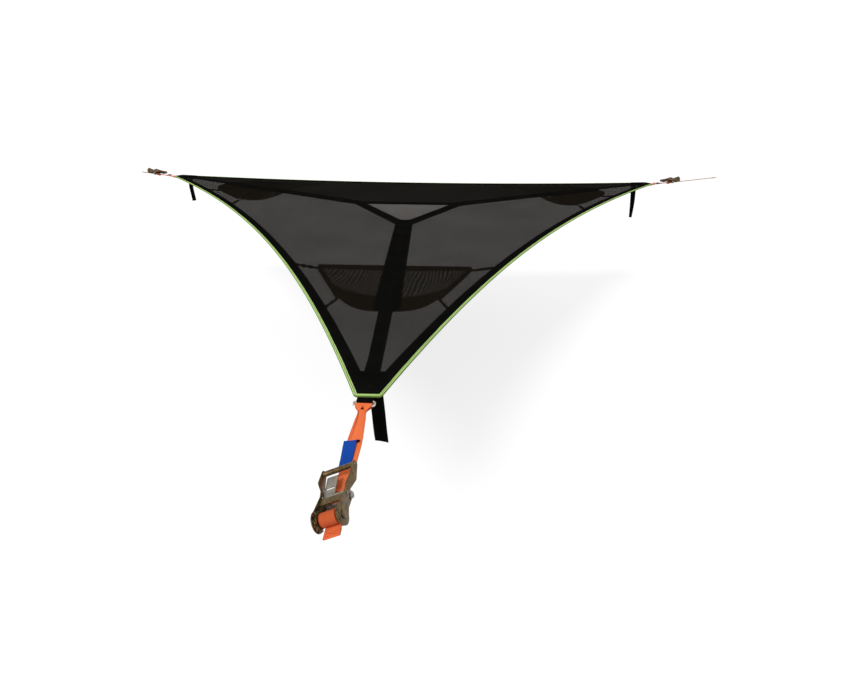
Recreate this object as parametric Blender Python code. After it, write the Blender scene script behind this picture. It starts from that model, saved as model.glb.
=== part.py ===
"""A triangle hammock, hung level between three trees by ratchet straps. Metres, +Z up.

The bed is a flat triangle of net panels whose sides bow inward, with its near corner towards -Y.
The origin is the sewn end of the near tree strap. Each corner has a frame of its own: u points out
to its tree from the middle of the corner's short edge, v runs across and w is up. Each side has one
too: x runs along the side and y points out of the bed.
"""

import math
from dataclasses import dataclass

import bmesh
import bpy
import numpy as np
from mathutils import Matrix, Vector

# Driving dimensions of the bed
BED_SIDE = 4.0
CORNER_FLAT = 0.078
EDGE_BOW = 0.186
PANEL_THICKNESS = 0.0016
TRIM_WIDTH = 0.011
TRIM_RISE = 0.003
TRIM_DROP = 0.006
TRIM_ROUNDING = 0.0025
EDGE_WEB_WIDTH = 0.038
WEB_THICKNESS = 0.002
HATCH_INNER = 0.162
HATCH_OUTER = 0.237
RADIAL_WIDE = 0.104
RADIAL_NARROW = 0.054
RADIAL_AT_CORNER = 0.046
RADIAL_STEP = 0.607
PATCH_LENGTH = 0.135
EDGE_STEPS = 32

# Driving dimensions of the pockets
MOUTH_FROM_CORNER = 1.13
MOUTH_HALF = 0.36
FOOT_FROM_CORNER = 0.742
FOOT_HALF = 0.20
FOOT_BULGE = 0.136
MOUTH_DROOP = 0.008
POCKET_SAG = 0.075
POCKET_THICKNESS = 0.001
CORD_WIDTH = 0.012
CORD_END_FROM_CORNER = 1.187
TIE_END_FROM_CORNER = 0.655
POCKET_COLUMNS = 12
POCKET_ROWS = 8

# Driving dimensions of the rings, loops and straps
STRAP_WIDTH = 0.040
STRAP_THICKNESS = 0.0016
RING_WIRE = 0.003
RING_FROM_CORNER = 0.010
RING_LENGTH = 0.020
RING_WIDTH = 0.058
RING_BEND = 0.005
LOOP_WIDTH = 0.046
LOOP_REACH = 0.21
LOOP_RISE_START = 0.004
LOOP_RISE_END = 0.045
LOOP_CLOSED_AT = 0.035
COLLAR_WIDTH = 0.0475
PINCHED_WIDTH = 0.024
PINCH_FROM_RING = 0.033
FULL_FROM_RING = 0.200
RING_SPREAD_LENGTH = 0.035
BOLT_SPREAD_LENGTH = 0.045
TWIST_FROM_ENDS = 0.030
STRAP_STEPS = 24
STRAP_FIRST_SHARE = 0.06
STRAP_LAST_SHARE = 0.97
LABEL_WIDTH = 0.034
LABEL_LENGTH = 0.088
LABEL_THICKNESS = 0.0008
LABEL_ASIDE = 0.0075
LABEL_FROM_GRIP = 0.036
LABEL_SEWN_SHARE = 0.25
LABEL_STEPS = 9
HEM_LENGTH = 0.018
HEM_THICKNESS = 0.0042
HEM_SLOPE = 0.002
TREE_STRAP_UNDER = 0.004
TAIL_WIDTH = 0.040
TAIL_THICKNESS = 0.0018
TAIL_SWAY = 0.003

# Driving dimensions of the ratchets
MANDREL_RADIUS = 0.0075
JOURNAL_RADIUS = 0.0055
WASHER_RADIUS = 0.0095
WASHER_THICKNESS = 0.0018
WINDING_TURNS = 3.5
TURN_GAP = 0.0005
POINTS_PER_TURN = 24
STRAP_SIDE_ROOM = 0.0022
FRAME_PLATE = 0.002
FRAME_AXLE_RADIUS = 0.0172
FRAME_BOLT_RADIUS = 0.0105
BOLT_FROM_AXLE = 0.0735
BOLT_RADIUS = 0.005
BOLT_HEAD_RADIUS = 0.0085
BOLT_HEAD_THICKNESS = 0.0065
STRAP_DROP = 0.003
WHEEL_TEETH = 12
WHEEL_ROOT = 0.0174
WHEEL_TIP = 0.0225
WHEEL_THICKNESS = 0.0038
HANDLE_PLATE = 0.0022
HANDLE_AXLE_RADIUS = 0.0235
HANDLE_WAIST_RADIUS = 0.0085
HANDLE_WAIST_AT = 0.062
HANDLE_WING_RADIUS = 0.0135
HANDLE_WING_AT = 0.105
HANDLE_END_RADIUS = 0.009
HANDLE_END_SWEEP = math.radians(72.0)
HANDLE_FLARE = 0.0095
HANDLE_FLARE_START = 0.076
HANDLE_FLARE_END = 0.100
HANDLE_REACH = 0.139
HANDLE_TILT = math.radians(5.0)
GRIP_RADIUS = 0.0065
GRIP_LENGTH = 0.085
HANDLE_WEB_LENGTH = 0.018
HANDLE_WEB_THICKNESS = 0.0022
WEB_ABOVE_PAWL = 0.0025
PAWL_THICKNESS = 0.0025
PAWL_TRAVEL = 0.006
LOCK_PAWL_LENGTH = 0.030
LOCK_PAWL_LIP = 0.0045
BASE_LENGTH = 0.026
BASE_THICKNESS = 0.002
BASE_BELOW_PAWL = 0.005
BASE_FROM_PAWL_TIP = 0.012
CROSSPIECE_LENGTH = 0.015
TONGUE_LENGTH = 0.056
TONGUE_WIDTH = 0.027
TONGUE_ASIDE = 0.0135
FINGER_SLOT_LENGTH = 0.005
FINGER_SLOT_WIDTH = 0.020
FINGER_SLOT_FROM_END = 0.033
TAB_LENGTH = 0.010
TAB_PROUD = 0.0016

# Clearances
SEAM = 0.0003
SIDE_PLAY = 0.0005
STACK_GAP = 0.0004

# Worked out from the bed's size
CIRCUMRADIUS = BED_SIDE / math.sqrt(3.0)
INRADIUS = CIRCUMRADIUS / 2.0
EDGE_HALF = BED_SIDE / 2.0 - CORNER_FLAT / 4.0
EDGE_END = INRADIUS + CORNER_FLAT * math.sqrt(3.0) / 4.0
PANEL_INSET = TRIM_WIDTH + SEAM
WEB_LOW = PANEL_THICKNESS / 2.0 + SEAM
WEB_HIGH = WEB_LOW + WEB_THICKNESS
PATCH_LOW = WEB_HIGH + SEAM
PATCH_HIGH = PATCH_LOW + WEB_THICKNESS
UNDERSIDE = -PANEL_THICKNESS / 2.0 - SEAM

# Worked out round the ring: the strap line runs through the ring's bars, under the bed
LOOP_TURN_RADIUS = RING_WIRE + SEAM + STRAP_THICKNESS / 2.0
STRAP_LINE = -TRIM_DROP - SEAM - STRAP_THICKNESS / 2.0 - LOOP_TURN_RADIUS
RING_OUTER_BAR = RING_FROM_CORNER + RING_LENGTH

# Worked out round the spool
TURN_PITCH = STRAP_THICKNESS + TURN_GAP
WINDING_START = MANDREL_RADIUS + SEAM + STRAP_THICKNESS / 2.0
WINDING_END = WINDING_START + WINDING_TURNS * TURN_PITCH
WINDING_OUTSIDE = WINDING_END + STRAP_THICKNESS / 2.0
TREE_STRAP_LEVEL = -WINDING_OUTSIDE - SEAM - STRAP_THICKNESS / 2.0
AXLE_LIFT = -TREE_STRAP_LEVEL - STRAP_DROP
BOLT_BACK = math.sqrt(BOLT_FROM_AXLE**2 - AXLE_LIFT**2)
FRAME_TILT = math.atan2(AXLE_LIFT, BOLT_BACK)

# Worked out along the axle, from the strap outwards
FRAME_INNER = STRAP_WIDTH / 2.0 + STRAP_SIDE_ROOM
FRAME_OUTER = FRAME_INNER + FRAME_PLATE
WHEEL_INNER = FRAME_OUTER + SIDE_PLAY
WHEEL_OUTER = WHEEL_INNER + WHEEL_THICKNESS
HANDLE_INNER = WHEEL_OUTER + SIDE_PLAY
HANDLE_OUTER = HANDLE_INNER + HANDLE_PLATE
WASHER_INNER = HANDLE_OUTER + SEAM
WASHER_OUTER = WASHER_INNER + WASHER_THICKNESS

# Worked out for the two pawls
LOCK_PAWL_TIP = WHEEL_ROOT + SEAM
DRIVE_PAWL_TIP = WHEEL_TIP + STACK_GAP
FRAME_TOP_ANGLE = FRAME_TILT + math.asin((FRAME_AXLE_RADIUS - FRAME_BOLT_RADIUS) / BOLT_FROM_AXLE)


def past_frame(height):
    """How far from the axle something in the handle, at this height, lies clear above the frame."""
    rise = FRAME_AXLE_RADIUS / math.cos(FRAME_TOP_ANGLE) - height / math.cos(HANDLE_TILT) + SIDE_PLAY
    slope = math.tan(FRAME_TOP_ANGLE) + math.tan(HANDLE_TILT)
    return rise / (slope * math.cos(HANDLE_TILT))


PAWL_SLOT_HALF = PAWL_THICKNESS / 2.0 + SEAM
WEB_LEVEL = PAWL_SLOT_HALF + WEB_ABOVE_PAWL
WEB_START = past_frame(WEB_LEVEL)
CROSSPIECE_START = past_frame(-PAWL_THICKNESS / 2.0)
CROSSPIECE_END = CROSSPIECE_START + CROSSPIECE_LENGTH
TONGUE_END = CROSSPIECE_END + TONGUE_LENGTH
TAB_START = CROSSPIECE_START + (CROSSPIECE_LENGTH - TAB_LENGTH) / 2.0
WHEEL_PITCH = 2.0 * math.pi / WHEEL_TEETH


@dataclass
class Corner:
    """One corner: its direction, its ratchet's axle and strap end, its label and its hanging tail.

    The strap line starts aside of the corner's middle and leans from there. The tail has its place
    and turn about Z, its length, how far aside its end and its middle hang and how far it is
    twisted at its end.
    """

    azimuth: float
    axle: float
    strap_end: float
    aside: float
    lean: float
    roll: float
    label_lift: float
    tail_inward: float
    tail_across: float
    tail_turn: float
    tail_length: float
    tail_aside: float
    tail_bow: float
    tail_twist: float


CORNERS = {
    "near": Corner(
        -90.0, 0.467, 0.501, -0.0075, -1.2, 25.5, 0.005, 0.025, 0.028, 90.0, 0.160, 0.012, 0.0, 0.0
    ),
    "left": Corner(150.0, 0.357, 0.480, 0.0, 0.0, 20.0, 0.014, 0.160, 0.0, 14.0, 0.185, 0.006, 0.010, 0.0),
    "right": Corner(
        30.0, 0.341, 0.880, 0.0, 0.0, -20.0, 0.014, 0.185, 0.0, -52.0, 0.262, 0.019, 0.004, 60.0
    ),
}
EDGES = {"left": 210.0, "right": 330.0, "back": 90.0}


def turn(degrees, axis):
    return Matrix.Rotation(math.radians(degrees), 4, axis)


def shift(x, y, z):
    return Matrix.Translation(Vector((x, y, z)))


def bed_place():
    """The bed's centre, set so that the near strap's sewn end is the origin."""
    near = CORNERS["near"]
    corner = turn(near.azimuth, "Z") @ shift(CIRCUMRADIUS, near.aside, STRAP_LINE)
    end = corner @ turn(near.lean, "Z") @ Vector((near.strap_end, 0.0, 0.0))
    return shift(*(-end))


BED = bed_place()


def corner_place(corner):
    return BED @ turn(corner.azimuth, "Z") @ shift(CIRCUMRADIUS, 0.0, 0.0)


def strap_place(corner):
    """The strap line's frame: level with the ring's bars, set aside and turned by the strap's lean."""
    return corner_place(corner) @ shift(0.0, corner.aside, STRAP_LINE) @ turn(corner.lean, "Z")


def axle_place(corner):
    """The ratchet's frame, with its origin on the axle."""
    rolled = strap_place(corner) @ shift(corner.axle, 0.0, 0.0) @ turn(corner.roll, "X")
    return rolled @ shift(0.0, 0.0, AXLE_LIFT)


def edge_place(azimuth):
    return BED @ turn(azimuth - 90.0, "Z")


def material(name, colour, roughness, metallic=0.0):
    made = bpy.data.materials.new(name)
    made.use_nodes = True
    shader = made.node_tree.nodes["Principled BSDF"]
    shader.inputs["Base Color"].default_value = (*colour, 1.0)
    shader.inputs["Roughness"].default_value = roughness
    shader.inputs["Metallic"].default_value = metallic
    return made


def smoothstep(low, high, value):
    t = min(1.0, max(0.0, (value - low) / (high - low)))
    return t * t * (3.0 - 2.0 * t)


def mesh_from(bm, smooth=False):
    bmesh.ops.recalc_face_normals(bm, faces=bm.faces)
    mesh = bpy.data.meshes.new("shape")
    bm.to_mesh(mesh)
    bm.free()
    if smooth:
        mesh.shade_smooth()
        mesh.set_sharp_from_angle(angle=math.radians(40.0))
    return mesh


def prism(outline, low, high, across="w", holes=()):
    """A flat outline with holes, made solid between low and high along the named axis."""
    bm = bmesh.new()
    edges = []
    for loop in (outline, *holes):
        if across == "w":
            verts = [bm.verts.new((a, b, low)) for a, b in loop]
        else:
            verts = [bm.verts.new((a, low, b)) for a, b in loop]
        edges += [bm.edges.new((verts[i - 1], verts[i])) for i in range(len(verts))]
    bmesh.ops.triangle_fill(bm, use_beauty=True, edges=edges)
    bmesh.ops.dissolve_limit(bm, angle_limit=0.001, verts=bm.verts, edges=bm.edges)
    grown = bmesh.ops.extrude_face_region(bm, geom=bm.faces[:])
    rise = high - low
    step = Vector((0.0, 0.0, rise)) if across == "w" else Vector((0.0, rise, 0.0))
    moved = [item for item in grown["geom"] if isinstance(item, bmesh.types.BMVert)]
    bmesh.ops.translate(bm, verts=moved, vec=step)
    return mesh_from(bm)


def tube(loops, closed=False, smooth=False):
    """A solid skinned over loops of points, capped at its ends unless it closes on itself."""
    bm = bmesh.new()
    rings = [[bm.verts.new(point) for point in loop] for loop in loops]
    sides = len(rings[0])
    last = len(rings) if closed else len(rings) - 1
    for i in range(last):
        here = rings[i]
        there = rings[(i + 1) % len(rings)]
        for j in range(sides):
            k = (j + 1) % sides
            bm.faces.new((here[j], here[k], there[k], there[j]))
    if not closed:
        bm.faces.new(rings[0])
        bm.faces.new(rings[-1])
    return mesh_from(bm, smooth)


def cylinder(radius, low, high, sides=24):
    """A round bar along v, centred on u = w = 0."""
    round_outline = circle(0.0, 0.0, radius, sides)
    return prism(round_outline, low, high, "v")


def circle(u, w, radius, sides):
    steps = [2.0 * math.pi * i / sides for i in range(sides)]
    return [(u + radius * math.cos(a), w + radius * math.sin(a)) for a in steps]


def rectangle(u0, u1, w0, w1):
    return [(u0, w0), (u1, w0), (u1, w1), (u0, w1)]


def arc(u, w, radius, start, end, steps):
    angles = np.linspace(start, end, steps)
    return [(u + radius * math.cos(a), w + radius * math.sin(a)) for a in angles]


def link_outline(length, near_radius, far_radius, steps=9):
    """A link plate: a round end at the axle and a smaller one at u = -length, with tangent sides."""
    lean = math.asin((near_radius - far_radius) / length)
    quarter = math.pi / 2.0
    near_end = arc(0.0, 0.0, near_radius, lean - quarter - 2.0 * lean, quarter + lean, steps)
    far_end = arc(-length, 0.0, far_radius, quarter + lean, 3.0 * quarter - lean, steps)
    return near_end + far_end


def united(name, first, *others):
    """One mesh from several overlapping ones."""
    base = bpy.data.objects.new(name, first)
    bpy.context.scene.collection.objects.link(base)
    helpers = [base]
    for mesh in others:
        helper = bpy.data.objects.new(name + "_piece", mesh)
        bpy.context.scene.collection.objects.link(helper)
        helpers.append(helper)
        joint = base.modifiers.new("join", "BOOLEAN")
        joint.operation = "UNION"
        joint.object = helper
    graph = bpy.context.evaluated_depsgraph_get()
    mesh = bpy.data.meshes.new_from_object(base.evaluated_get(graph))
    for helper in helpers:
        bpy.data.objects.remove(helper)
    mesh.set_sharp_from_angle(angle=math.radians(40.0))
    return mesh


def moved_mesh(mesh, matrix):
    mesh.transform(matrix)
    return mesh


def place(name, mesh, matrix, finish):
    thing = bpy.data.objects.new(name, mesh)
    bpy.context.scene.collection.objects.link(thing)
    thing.matrix_world = matrix
    if not mesh.materials:
        mesh.materials.append(finish)
    return thing


def clipped(polygon, point, inward):
    """The part of a polygon on the inward side of a line through a point."""
    kept = []
    for i, here in enumerate(polygon):
        before = polygon[i - 1]
        d_here = (here[0] - point[0]) * inward[0] + (here[1] - point[1]) * inward[1]
        d_before = (before[0] - point[0]) * inward[0] + (before[1] - point[1]) * inward[1]
        if (d_here >= 0.0) != (d_before >= 0.0):
            t = d_before / (d_before - d_here)
            kept.append(tuple(before[k] + t * (here[k] - before[k]) for k in (0, 1)))
        if d_here >= 0.0:
            kept.append(here)
    return kept


def edge_point(x, inset):
    """A point of the bowed side, moved inward by inset, in the side's frame."""
    y = EDGE_END - EDGE_BOW * (1.0 - (x / EDGE_HALF) ** 2)
    slope = 2.0 * EDGE_BOW * x / EDGE_HALF**2
    length = math.hypot(1.0, slope)
    return (x + inset * slope / length, y - inset / length)


def edge_curve(inset):
    return [edge_point(x, inset) for x in np.linspace(-EDGE_HALF, EDGE_HALF, EDGE_STEPS + 1)]


def within_corners(polygon):
    """Cuts a side's polygon at both corners' short edges and at both radial seams."""
    for side in (-1.0, 1.0):
        out = (side * math.cos(math.radians(30.0)), math.sin(math.radians(30.0)))
        end = (CIRCUMRADIUS - PANEL_INSET) * out[0], (CIRCUMRADIUS - PANEL_INSET) * out[1]
        polygon = clipped(polygon, end, (-out[0], -out[1]))
        seam = (-side * out[1], side * out[0])
        start = (seam[0] * SEAM / 2.0, seam[1] * SEAM / 2.0)
        polygon = clipped(polygon, start, seam)
    return polygon


def panel():
    """A third of the bed: from the bowed side in to the radial seams and the hatch."""
    outer = edge_curve(PANEL_INSET)
    polygon = outer + [(outer[-1][0], 0.0), (outer[0][0], 0.0)]
    hatch_middle = (HATCH_INNER + HATCH_OUTER) / 2.0
    polygon = clipped(polygon, (0.0, hatch_middle + SEAM / 2.0), (0.0, 1.0))
    return prism(within_corners(polygon), -PANEL_THICKNESS / 2.0, PANEL_THICKNESS / 2.0)


def edge_webbing():
    outer = edge_curve(PANEL_INSET)
    inner = edge_curve(PANEL_INSET + EDGE_WEB_WIDTH)
    return prism(within_corners(outer + inner[::-1]), WEB_LOW, WEB_HIGH)


def trim_section():
    """The trim's rounded section, as (distance inward, height)."""
    bevel = TRIM_ROUNDING
    return [
        (0.0, -TRIM_DROP + bevel),
        (bevel, -TRIM_DROP),
        (TRIM_WIDTH - bevel, -TRIM_DROP),
        (TRIM_WIDTH, -TRIM_DROP + bevel),
        (TRIM_WIDTH, TRIM_RISE - bevel / 2.0),
        (TRIM_WIDTH - bevel, TRIM_RISE),
        (bevel, TRIM_RISE),
        (0.0, TRIM_RISE - bevel / 2.0),
    ]


def edge_trim():
    """The green binding along one side and half of the short edge at each end."""
    path = edge_curve(0.0)
    for side, at_end in ((-1.0, False), (1.0, True)):
        middle = Vector((side * BED_SIDE / 2.0, INRADIUS))
        flat_end = Vector((side * EDGE_HALF, EDGE_END))
        middle += (flat_end - middle).normalized() * SEAM / 2.0
        path = path + [tuple(middle)] if at_end else [tuple(middle)] + path
    points = [Vector(p) for p in path]
    loops = []
    for i, point in enumerate(points):
        before = (point - points[i - 1]).normalized() if i else None
        after = (points[i + 1] - point).normalized() if i + 1 < len(points) else None
        ways = [way for way in (before, after) if way is not None]
        normals = [Vector((way.y, -way.x)) for way in ways]
        inward = sum(normals, Vector((0.0, 0.0))).normalized()
        inward /= inward.dot(normals[0])
        loops.append([(*(point + inward * s), h) for s, h in trim_section()])
    return tube(loops, smooth=True)


def corner_half_width(inward, inset):
    """Half the bed's width at a distance inward from a corner, less an inset at the bowed side."""
    to_corner = (turn(-90.0, "Z") @ shift(CIRCUMRADIUS, 0.0, 0.0)).inverted() @ turn(240.0, "Z")
    curve = [to_corner @ Vector((*p, 0.0)) for p in edge_curve(inset)]
    curve.sort(key=lambda p: p.x)
    return float(np.interp(-inward, [p.x for p in curve], [p.y for p in curve]))


def corner_patch():
    start = PANEL_INSET
    half = [corner_half_width(d, PANEL_INSET) for d in (start, PATCH_LENGTH)]
    outline = [
        (-start, -half[0]),
        (-start, half[0]),
        (-PATCH_LENGTH, half[1]),
        (-PATCH_LENGTH, -half[1]),
    ]
    return prism(outline, PATCH_LOW, PATCH_HIGH)


def radial_strap():
    """The webbing from a corner patch to the hatch, doubled in width past the pocket."""
    start = PATCH_LENGTH + SEAM
    wide = RADIAL_WIDE / 2.0
    narrow = RADIAL_NARROW / 2.0
    tip = CIRCUMRADIUS - 2.0 * (HATCH_OUTER + SEAM)
    shoulder = tip + wide * math.sqrt(3.0)
    half = [
        (start, RADIAL_AT_CORNER / 2.0),
        (RADIAL_STEP, narrow),
        (RADIAL_STEP + wide - narrow, wide),
        (shoulder, wide),
    ]
    right = [(-d, h) for d, h in half]
    left = [(-d, -h) for d, h in half]
    return prism(right + [(-tip, 0.0)] + left[::-1], WEB_LOW, WEB_HIGH)


def triangle(inradius):
    """A triangle about the bed's centre, with a corner towards each of the bed's corners."""
    angles = [math.radians(corner.azimuth) for corner in CORNERS.values()]
    return [(2.0 * inradius * math.cos(a), 2.0 * inradius * math.sin(a)) for a in angles]


def hatch_frame():
    return prism(triangle(HATCH_OUTER), WEB_LOW, WEB_HIGH, holes=[triangle(HATCH_INNER)])


def hatch_net():
    middle = (HATCH_INNER + HATCH_OUTER) / 2.0 - SEAM / 2.0
    return prism(triangle(middle), -PANEL_THICKNESS / 2.0, PANEL_THICKNESS / 2.0)


def pocket_point(column, row):
    """A point of the pocket seen from above; column runs from -1 to 1 and row from mouth to foot."""
    mouth = Vector((-MOUTH_FROM_CORNER, MOUTH_HALF * column))
    bulge = FOOT_BULGE * (1.0 - abs(column) ** 3)
    foot = Vector((-FOOT_FROM_CORNER + bulge, FOOT_HALF * column))
    return mouth.lerp(foot, row)


def pocket_height(column, row):
    """The pocket's middle surface hangs from its sides and foot, and a little at its mouth."""
    across = 1.0 - column * column
    hang = MOUTH_DROOP * (1.0 - row) + POCKET_SAG * math.sin(math.pi * row) ** 0.8
    return UNDERSIDE - POCKET_THICKNESS / 2.0 - across * hang


def pocket():
    """A hanging net pocket, with its mouth's cord and its two ties out to the edge webbing."""
    bm = bmesh.new()
    columns = np.linspace(-1.0, 1.0, POCKET_COLUMNS + 1)
    first = CORD_WIDTH / (MOUTH_FROM_CORNER - FOOT_FROM_CORNER)
    rows = [0.0] + list(np.linspace(first, 1.0, POCKET_ROWS))
    grid = []
    for row in rows:
        line = []
        for column in columns:
            flat = pocket_point(column, row)
            line.append(bm.verts.new((flat.x, flat.y, pocket_height(column, row))))
        grid.append(line)
    for i in range(len(rows) - 1):
        for j in range(len(columns) - 1):
            bm.faces.new((grid[i][j], grid[i][j + 1], grid[i + 1][j + 1], grid[i + 1][j]))
    reaches = ((0, 1, CORD_END_FROM_CORNER), (len(rows) - 2, len(rows) - 1, TIE_END_FROM_CORNER))
    inset = PANEL_INSET + EDGE_WEB_WIDTH
    for side, column in ((1.0, -1), (-1.0, 0)):
        for low, high, reach in reaches:
            across = side * corner_half_width(reach, inset)
            start = grid[low][column].co
            end = grid[high][column].co
            way = Vector((-reach, across, start.z)) - (start + end) / 2.0
            square = Vector((-way.y, way.x, 0.0)).normalized() * CORD_WIDTH / 2.0
            if square.dot(start - end) < 0.0:
                square = -square
            tips = [(start + end) / 2.0 + way + square * s for s in (1.0, -1.0)]
            ends = [bm.verts.new(tip) for tip in tips]
            bm.faces.new((grid[low][column], ends[0], ends[1], grid[high][column]))
    bmesh.ops.recalc_face_normals(bm, faces=bm.faces)
    for point in bm.verts:
        point.co.z -= POCKET_THICKNESS / 2.0
    grown = bmesh.ops.extrude_face_region(bm, geom=bm.faces[:])
    moved = [item for item in grown["geom"] if isinstance(item, bmesh.types.BMVert)]
    bmesh.ops.translate(bm, verts=moved, vec=(0.0, 0.0, POCKET_THICKNESS))
    return mesh_from(bm, smooth=True)


def ribbon(path, half_width, thickness, closed=False, rolled=None, aside=0.0):
    """A flat strap along a path of (u, w) points. half_width and rolled are functions of u."""
    count = len(path)
    shares = (-1.0, 0.0, 1.0) if rolled else (-1.0, 1.0)
    loops = []
    for i, (u, w) in enumerate(path):
        ahead = path[(i + 1) % count] if closed or i + 1 < count else path[i]
        behind = path[i - 1] if closed or i else path[i]
        way = Vector((ahead[0] - behind[0], ahead[1] - behind[1])).normalized()
        off = Vector((-way.y, way.x)) * thickness / 2.0
        half = half_width(u)
        loop = [(u + off.x, w + off.y, half * s - aside) for s in shares]
        loop += [(u - off.x, w - off.y, half * s - aside) for s in reversed(shares)]
        angle = rolled(u) if rolled else 0.0
        c, s = math.cos(angle), math.sin(angle)
        loops.append([(a, v * c - b * s, v * s + b * c) for a, b, v in loop])
    return tube(loops, closed=closed, smooth=True)


def ring():
    """A rounded steel ring, as long as its two bars are apart."""
    half_length = RING_LENGTH / 2.0
    half_width = RING_WIDTH / 2.0
    centre = RING_FROM_CORNER + half_length
    path = []
    for k, (su, sv) in enumerate(((1, 1), (-1, 1), (-1, -1), (1, -1))):
        u = centre + su * (half_length - RING_BEND)
        v = sv * (half_width - RING_BEND)
        path += arc(u, v, RING_BEND, k * math.pi / 2.0, (k + 1) * math.pi / 2.0, 6)
    loops = []
    for i, (u, v) in enumerate(path):
        ahead = Vector(path[(i + 1) % len(path)])
        way = (ahead - Vector(path[i - 1])).normalized()
        side = Vector((way.y, -way.x))
        section = circle(0.0, 0.0, RING_WIRE, 8)
        loops.append([(u + side.x * a, v + side.y * a, b) for a, b in section])
    return tube(loops, closed=True, smooth=True)


def loop_top(u):
    """The middle of the ring loop's upper layer: under the trim, then up against the panels."""
    high = -STRAP_LINE + UNDERSIDE - STRAP_THICKNESS / 2.0
    rise = smoothstep(TRIM_WIDTH + LOOP_RISE_START, TRIM_WIDTH + LOOP_RISE_END, -u)
    return LOOP_TURN_RADIUS + rise * (high - LOOP_TURN_RADIUS)


def loop_bottom(u):
    """The middle of the lower layer, which closes up to the layer above it."""
    closed_up = loop_top(u) - STRAP_THICKNESS - TURN_GAP
    blend = smoothstep(RING_WIRE - RING_FROM_CORNER, LOOP_CLOSED_AT, -u)
    return -LOOP_TURN_RADIUS + blend * (closed_up + LOOP_TURN_RADIUS)


def ring_loop():
    """The black webbing sewn under the corner, which goes round the ring's inner bar."""
    bend_end = -TRIM_WIDTH - LOOP_RISE_END
    steps = [-LOOP_REACH, (bend_end - LOOP_REACH) / 2.0]
    steps += list(np.linspace(bend_end, RING_FROM_CORNER / 2.0, 10))
    top = [(u, loop_top(u)) for u in steps]
    quarter = math.pi / 2.0
    bend = arc(RING_FROM_CORNER, 0.0, LOOP_TURN_RADIUS, quarter, -quarter, 9)
    bottom = [(u, loop_bottom(u)) for u in reversed(steps)]
    return ribbon(top + bend + bottom, lambda u: LOOP_WIDTH / 2.0, STRAP_THICKNESS)


def bolt_distance(corner):
    return corner.axle - BOLT_BACK


def strap_spread(corner, u):
    """Half the distance between the short strap's two layers."""
    at_ring = RING_WIRE + SEAM + STRAP_THICKNESS / 2.0
    at_bolt = BOLT_RADIUS + SEAM + STRAP_THICKNESS / 2.0
    together = STRAP_THICKNESS / 2.0 + TURN_GAP / 2.0
    ring_share = 1.0 - smoothstep(RING_OUTER_BAR, RING_OUTER_BAR + RING_SPREAD_LENGTH, u)
    bolt_share = smoothstep(bolt_distance(corner) - BOLT_SPREAD_LENGTH, bolt_distance(corner), u)
    return together + ring_share * (at_ring - together) + bolt_share * (at_bolt - together)


def strap_half_width(u):
    """The short strap's hitch is spread on its ring, gathered past it and then opens out again."""
    pinch = RING_OUTER_BAR + PINCH_FROM_RING
    closing = smoothstep(RING_OUTER_BAR, pinch, u)
    opening = smoothstep(pinch, RING_OUTER_BAR + FULL_FROM_RING, u)
    width = COLLAR_WIDTH + closing * (PINCHED_WIDTH - COLLAR_WIDTH)
    return (width + opening * (STRAP_WIDTH - PINCHED_WIDTH)) / 2.0


def strap_roll(corner, u):
    """The short strap twists from the level ring to the rolled ratchet."""
    start = RING_OUTER_BAR + TWIST_FROM_ENDS
    twist = smoothstep(start, bolt_distance(corner) - TWIST_FROM_ENDS, u)
    return math.radians(corner.roll) * twist


def short_strap(corner):
    """The orange strap, doubled between the ring's outer bar and the ratchet's bolt."""
    start = RING_OUTER_BAR
    end = bolt_distance(corner)
    shares = np.linspace(STRAP_FIRST_SHARE, STRAP_LAST_SHARE, STRAP_STEPS)
    steps = [start + (end - start) * t for t in shares]
    top = [(u, strap_spread(corner, u)) for u in steps]
    bottom = [(u, -w) for u, w in reversed(top)]
    quarter = math.pi / 2.0
    round_bolt = arc(end, 0.0, strap_spread(corner, end), quarter, -quarter, 7)
    round_ring = arc(start, 0.0, strap_spread(corner, start), -quarter, -3.0 * quarter, 7)
    return ribbon(
        top + round_bolt + bottom + round_ring,
        strap_half_width,
        STRAP_THICKNESS,
        closed=True,
        rolled=lambda u: strap_roll(corner, u),
    )


def label(corner):
    """A blank label sewn on the strap at its outer end, with its other end standing off."""
    end = corner.axle - HANDLE_REACH - GRIP_RADIUS - LABEL_FROM_GRIP
    base = (STRAP_THICKNESS + LABEL_THICKNESS) / 2.0 + STACK_GAP
    path = []
    for t in np.linspace(0.0, 1.0, LABEL_STEPS):
        u = end - LABEL_LENGTH * t
        lift = corner.label_lift * smoothstep(LABEL_SEWN_SHARE, 1.0, t)
        path.append((u, strap_spread(corner, u) + base + lift))
    return ribbon(
        path,
        lambda u: LABEL_WIDTH / 2.0,
        LABEL_THICKNESS,
        rolled=lambda u: strap_roll(corner, u),
        aside=LABEL_ASIDE,
    )


def tree_strap(corner):
    """The strap from under the winding to its sewn end, where the hem is folded under."""
    length = corner.strap_end - corner.axle
    top = TREE_STRAP_LEVEL + STRAP_THICKNESS / 2.0
    bottom = top - STRAP_THICKNESS
    hem = length - HEM_LENGTH
    outline = [
        (-TREE_STRAP_UNDER, top),
        (-TREE_STRAP_UNDER, bottom),
        (hem - HEM_SLOPE, bottom),
        (hem, top - HEM_THICKNESS),
        (length, top - HEM_THICKNESS),
        (length, top),
    ]
    return prism(outline, -STRAP_WIDTH / 2.0, STRAP_WIDTH / 2.0, "v")


def winding_path():
    """The strap's spiral on the spool, from its outer end at the bottom inwards."""
    count = int(round(WINDING_TURNS * POINTS_PER_TURN))
    path = []
    for i in range(count + 1):
        turned = WINDING_TURNS * i / count
        radius = WINDING_END - TURN_PITCH * turned
        angle = -math.pi / 2.0 - 2.0 * math.pi * turned
        path.append((radius * math.cos(angle), radius * math.sin(angle)))
    return path


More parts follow.
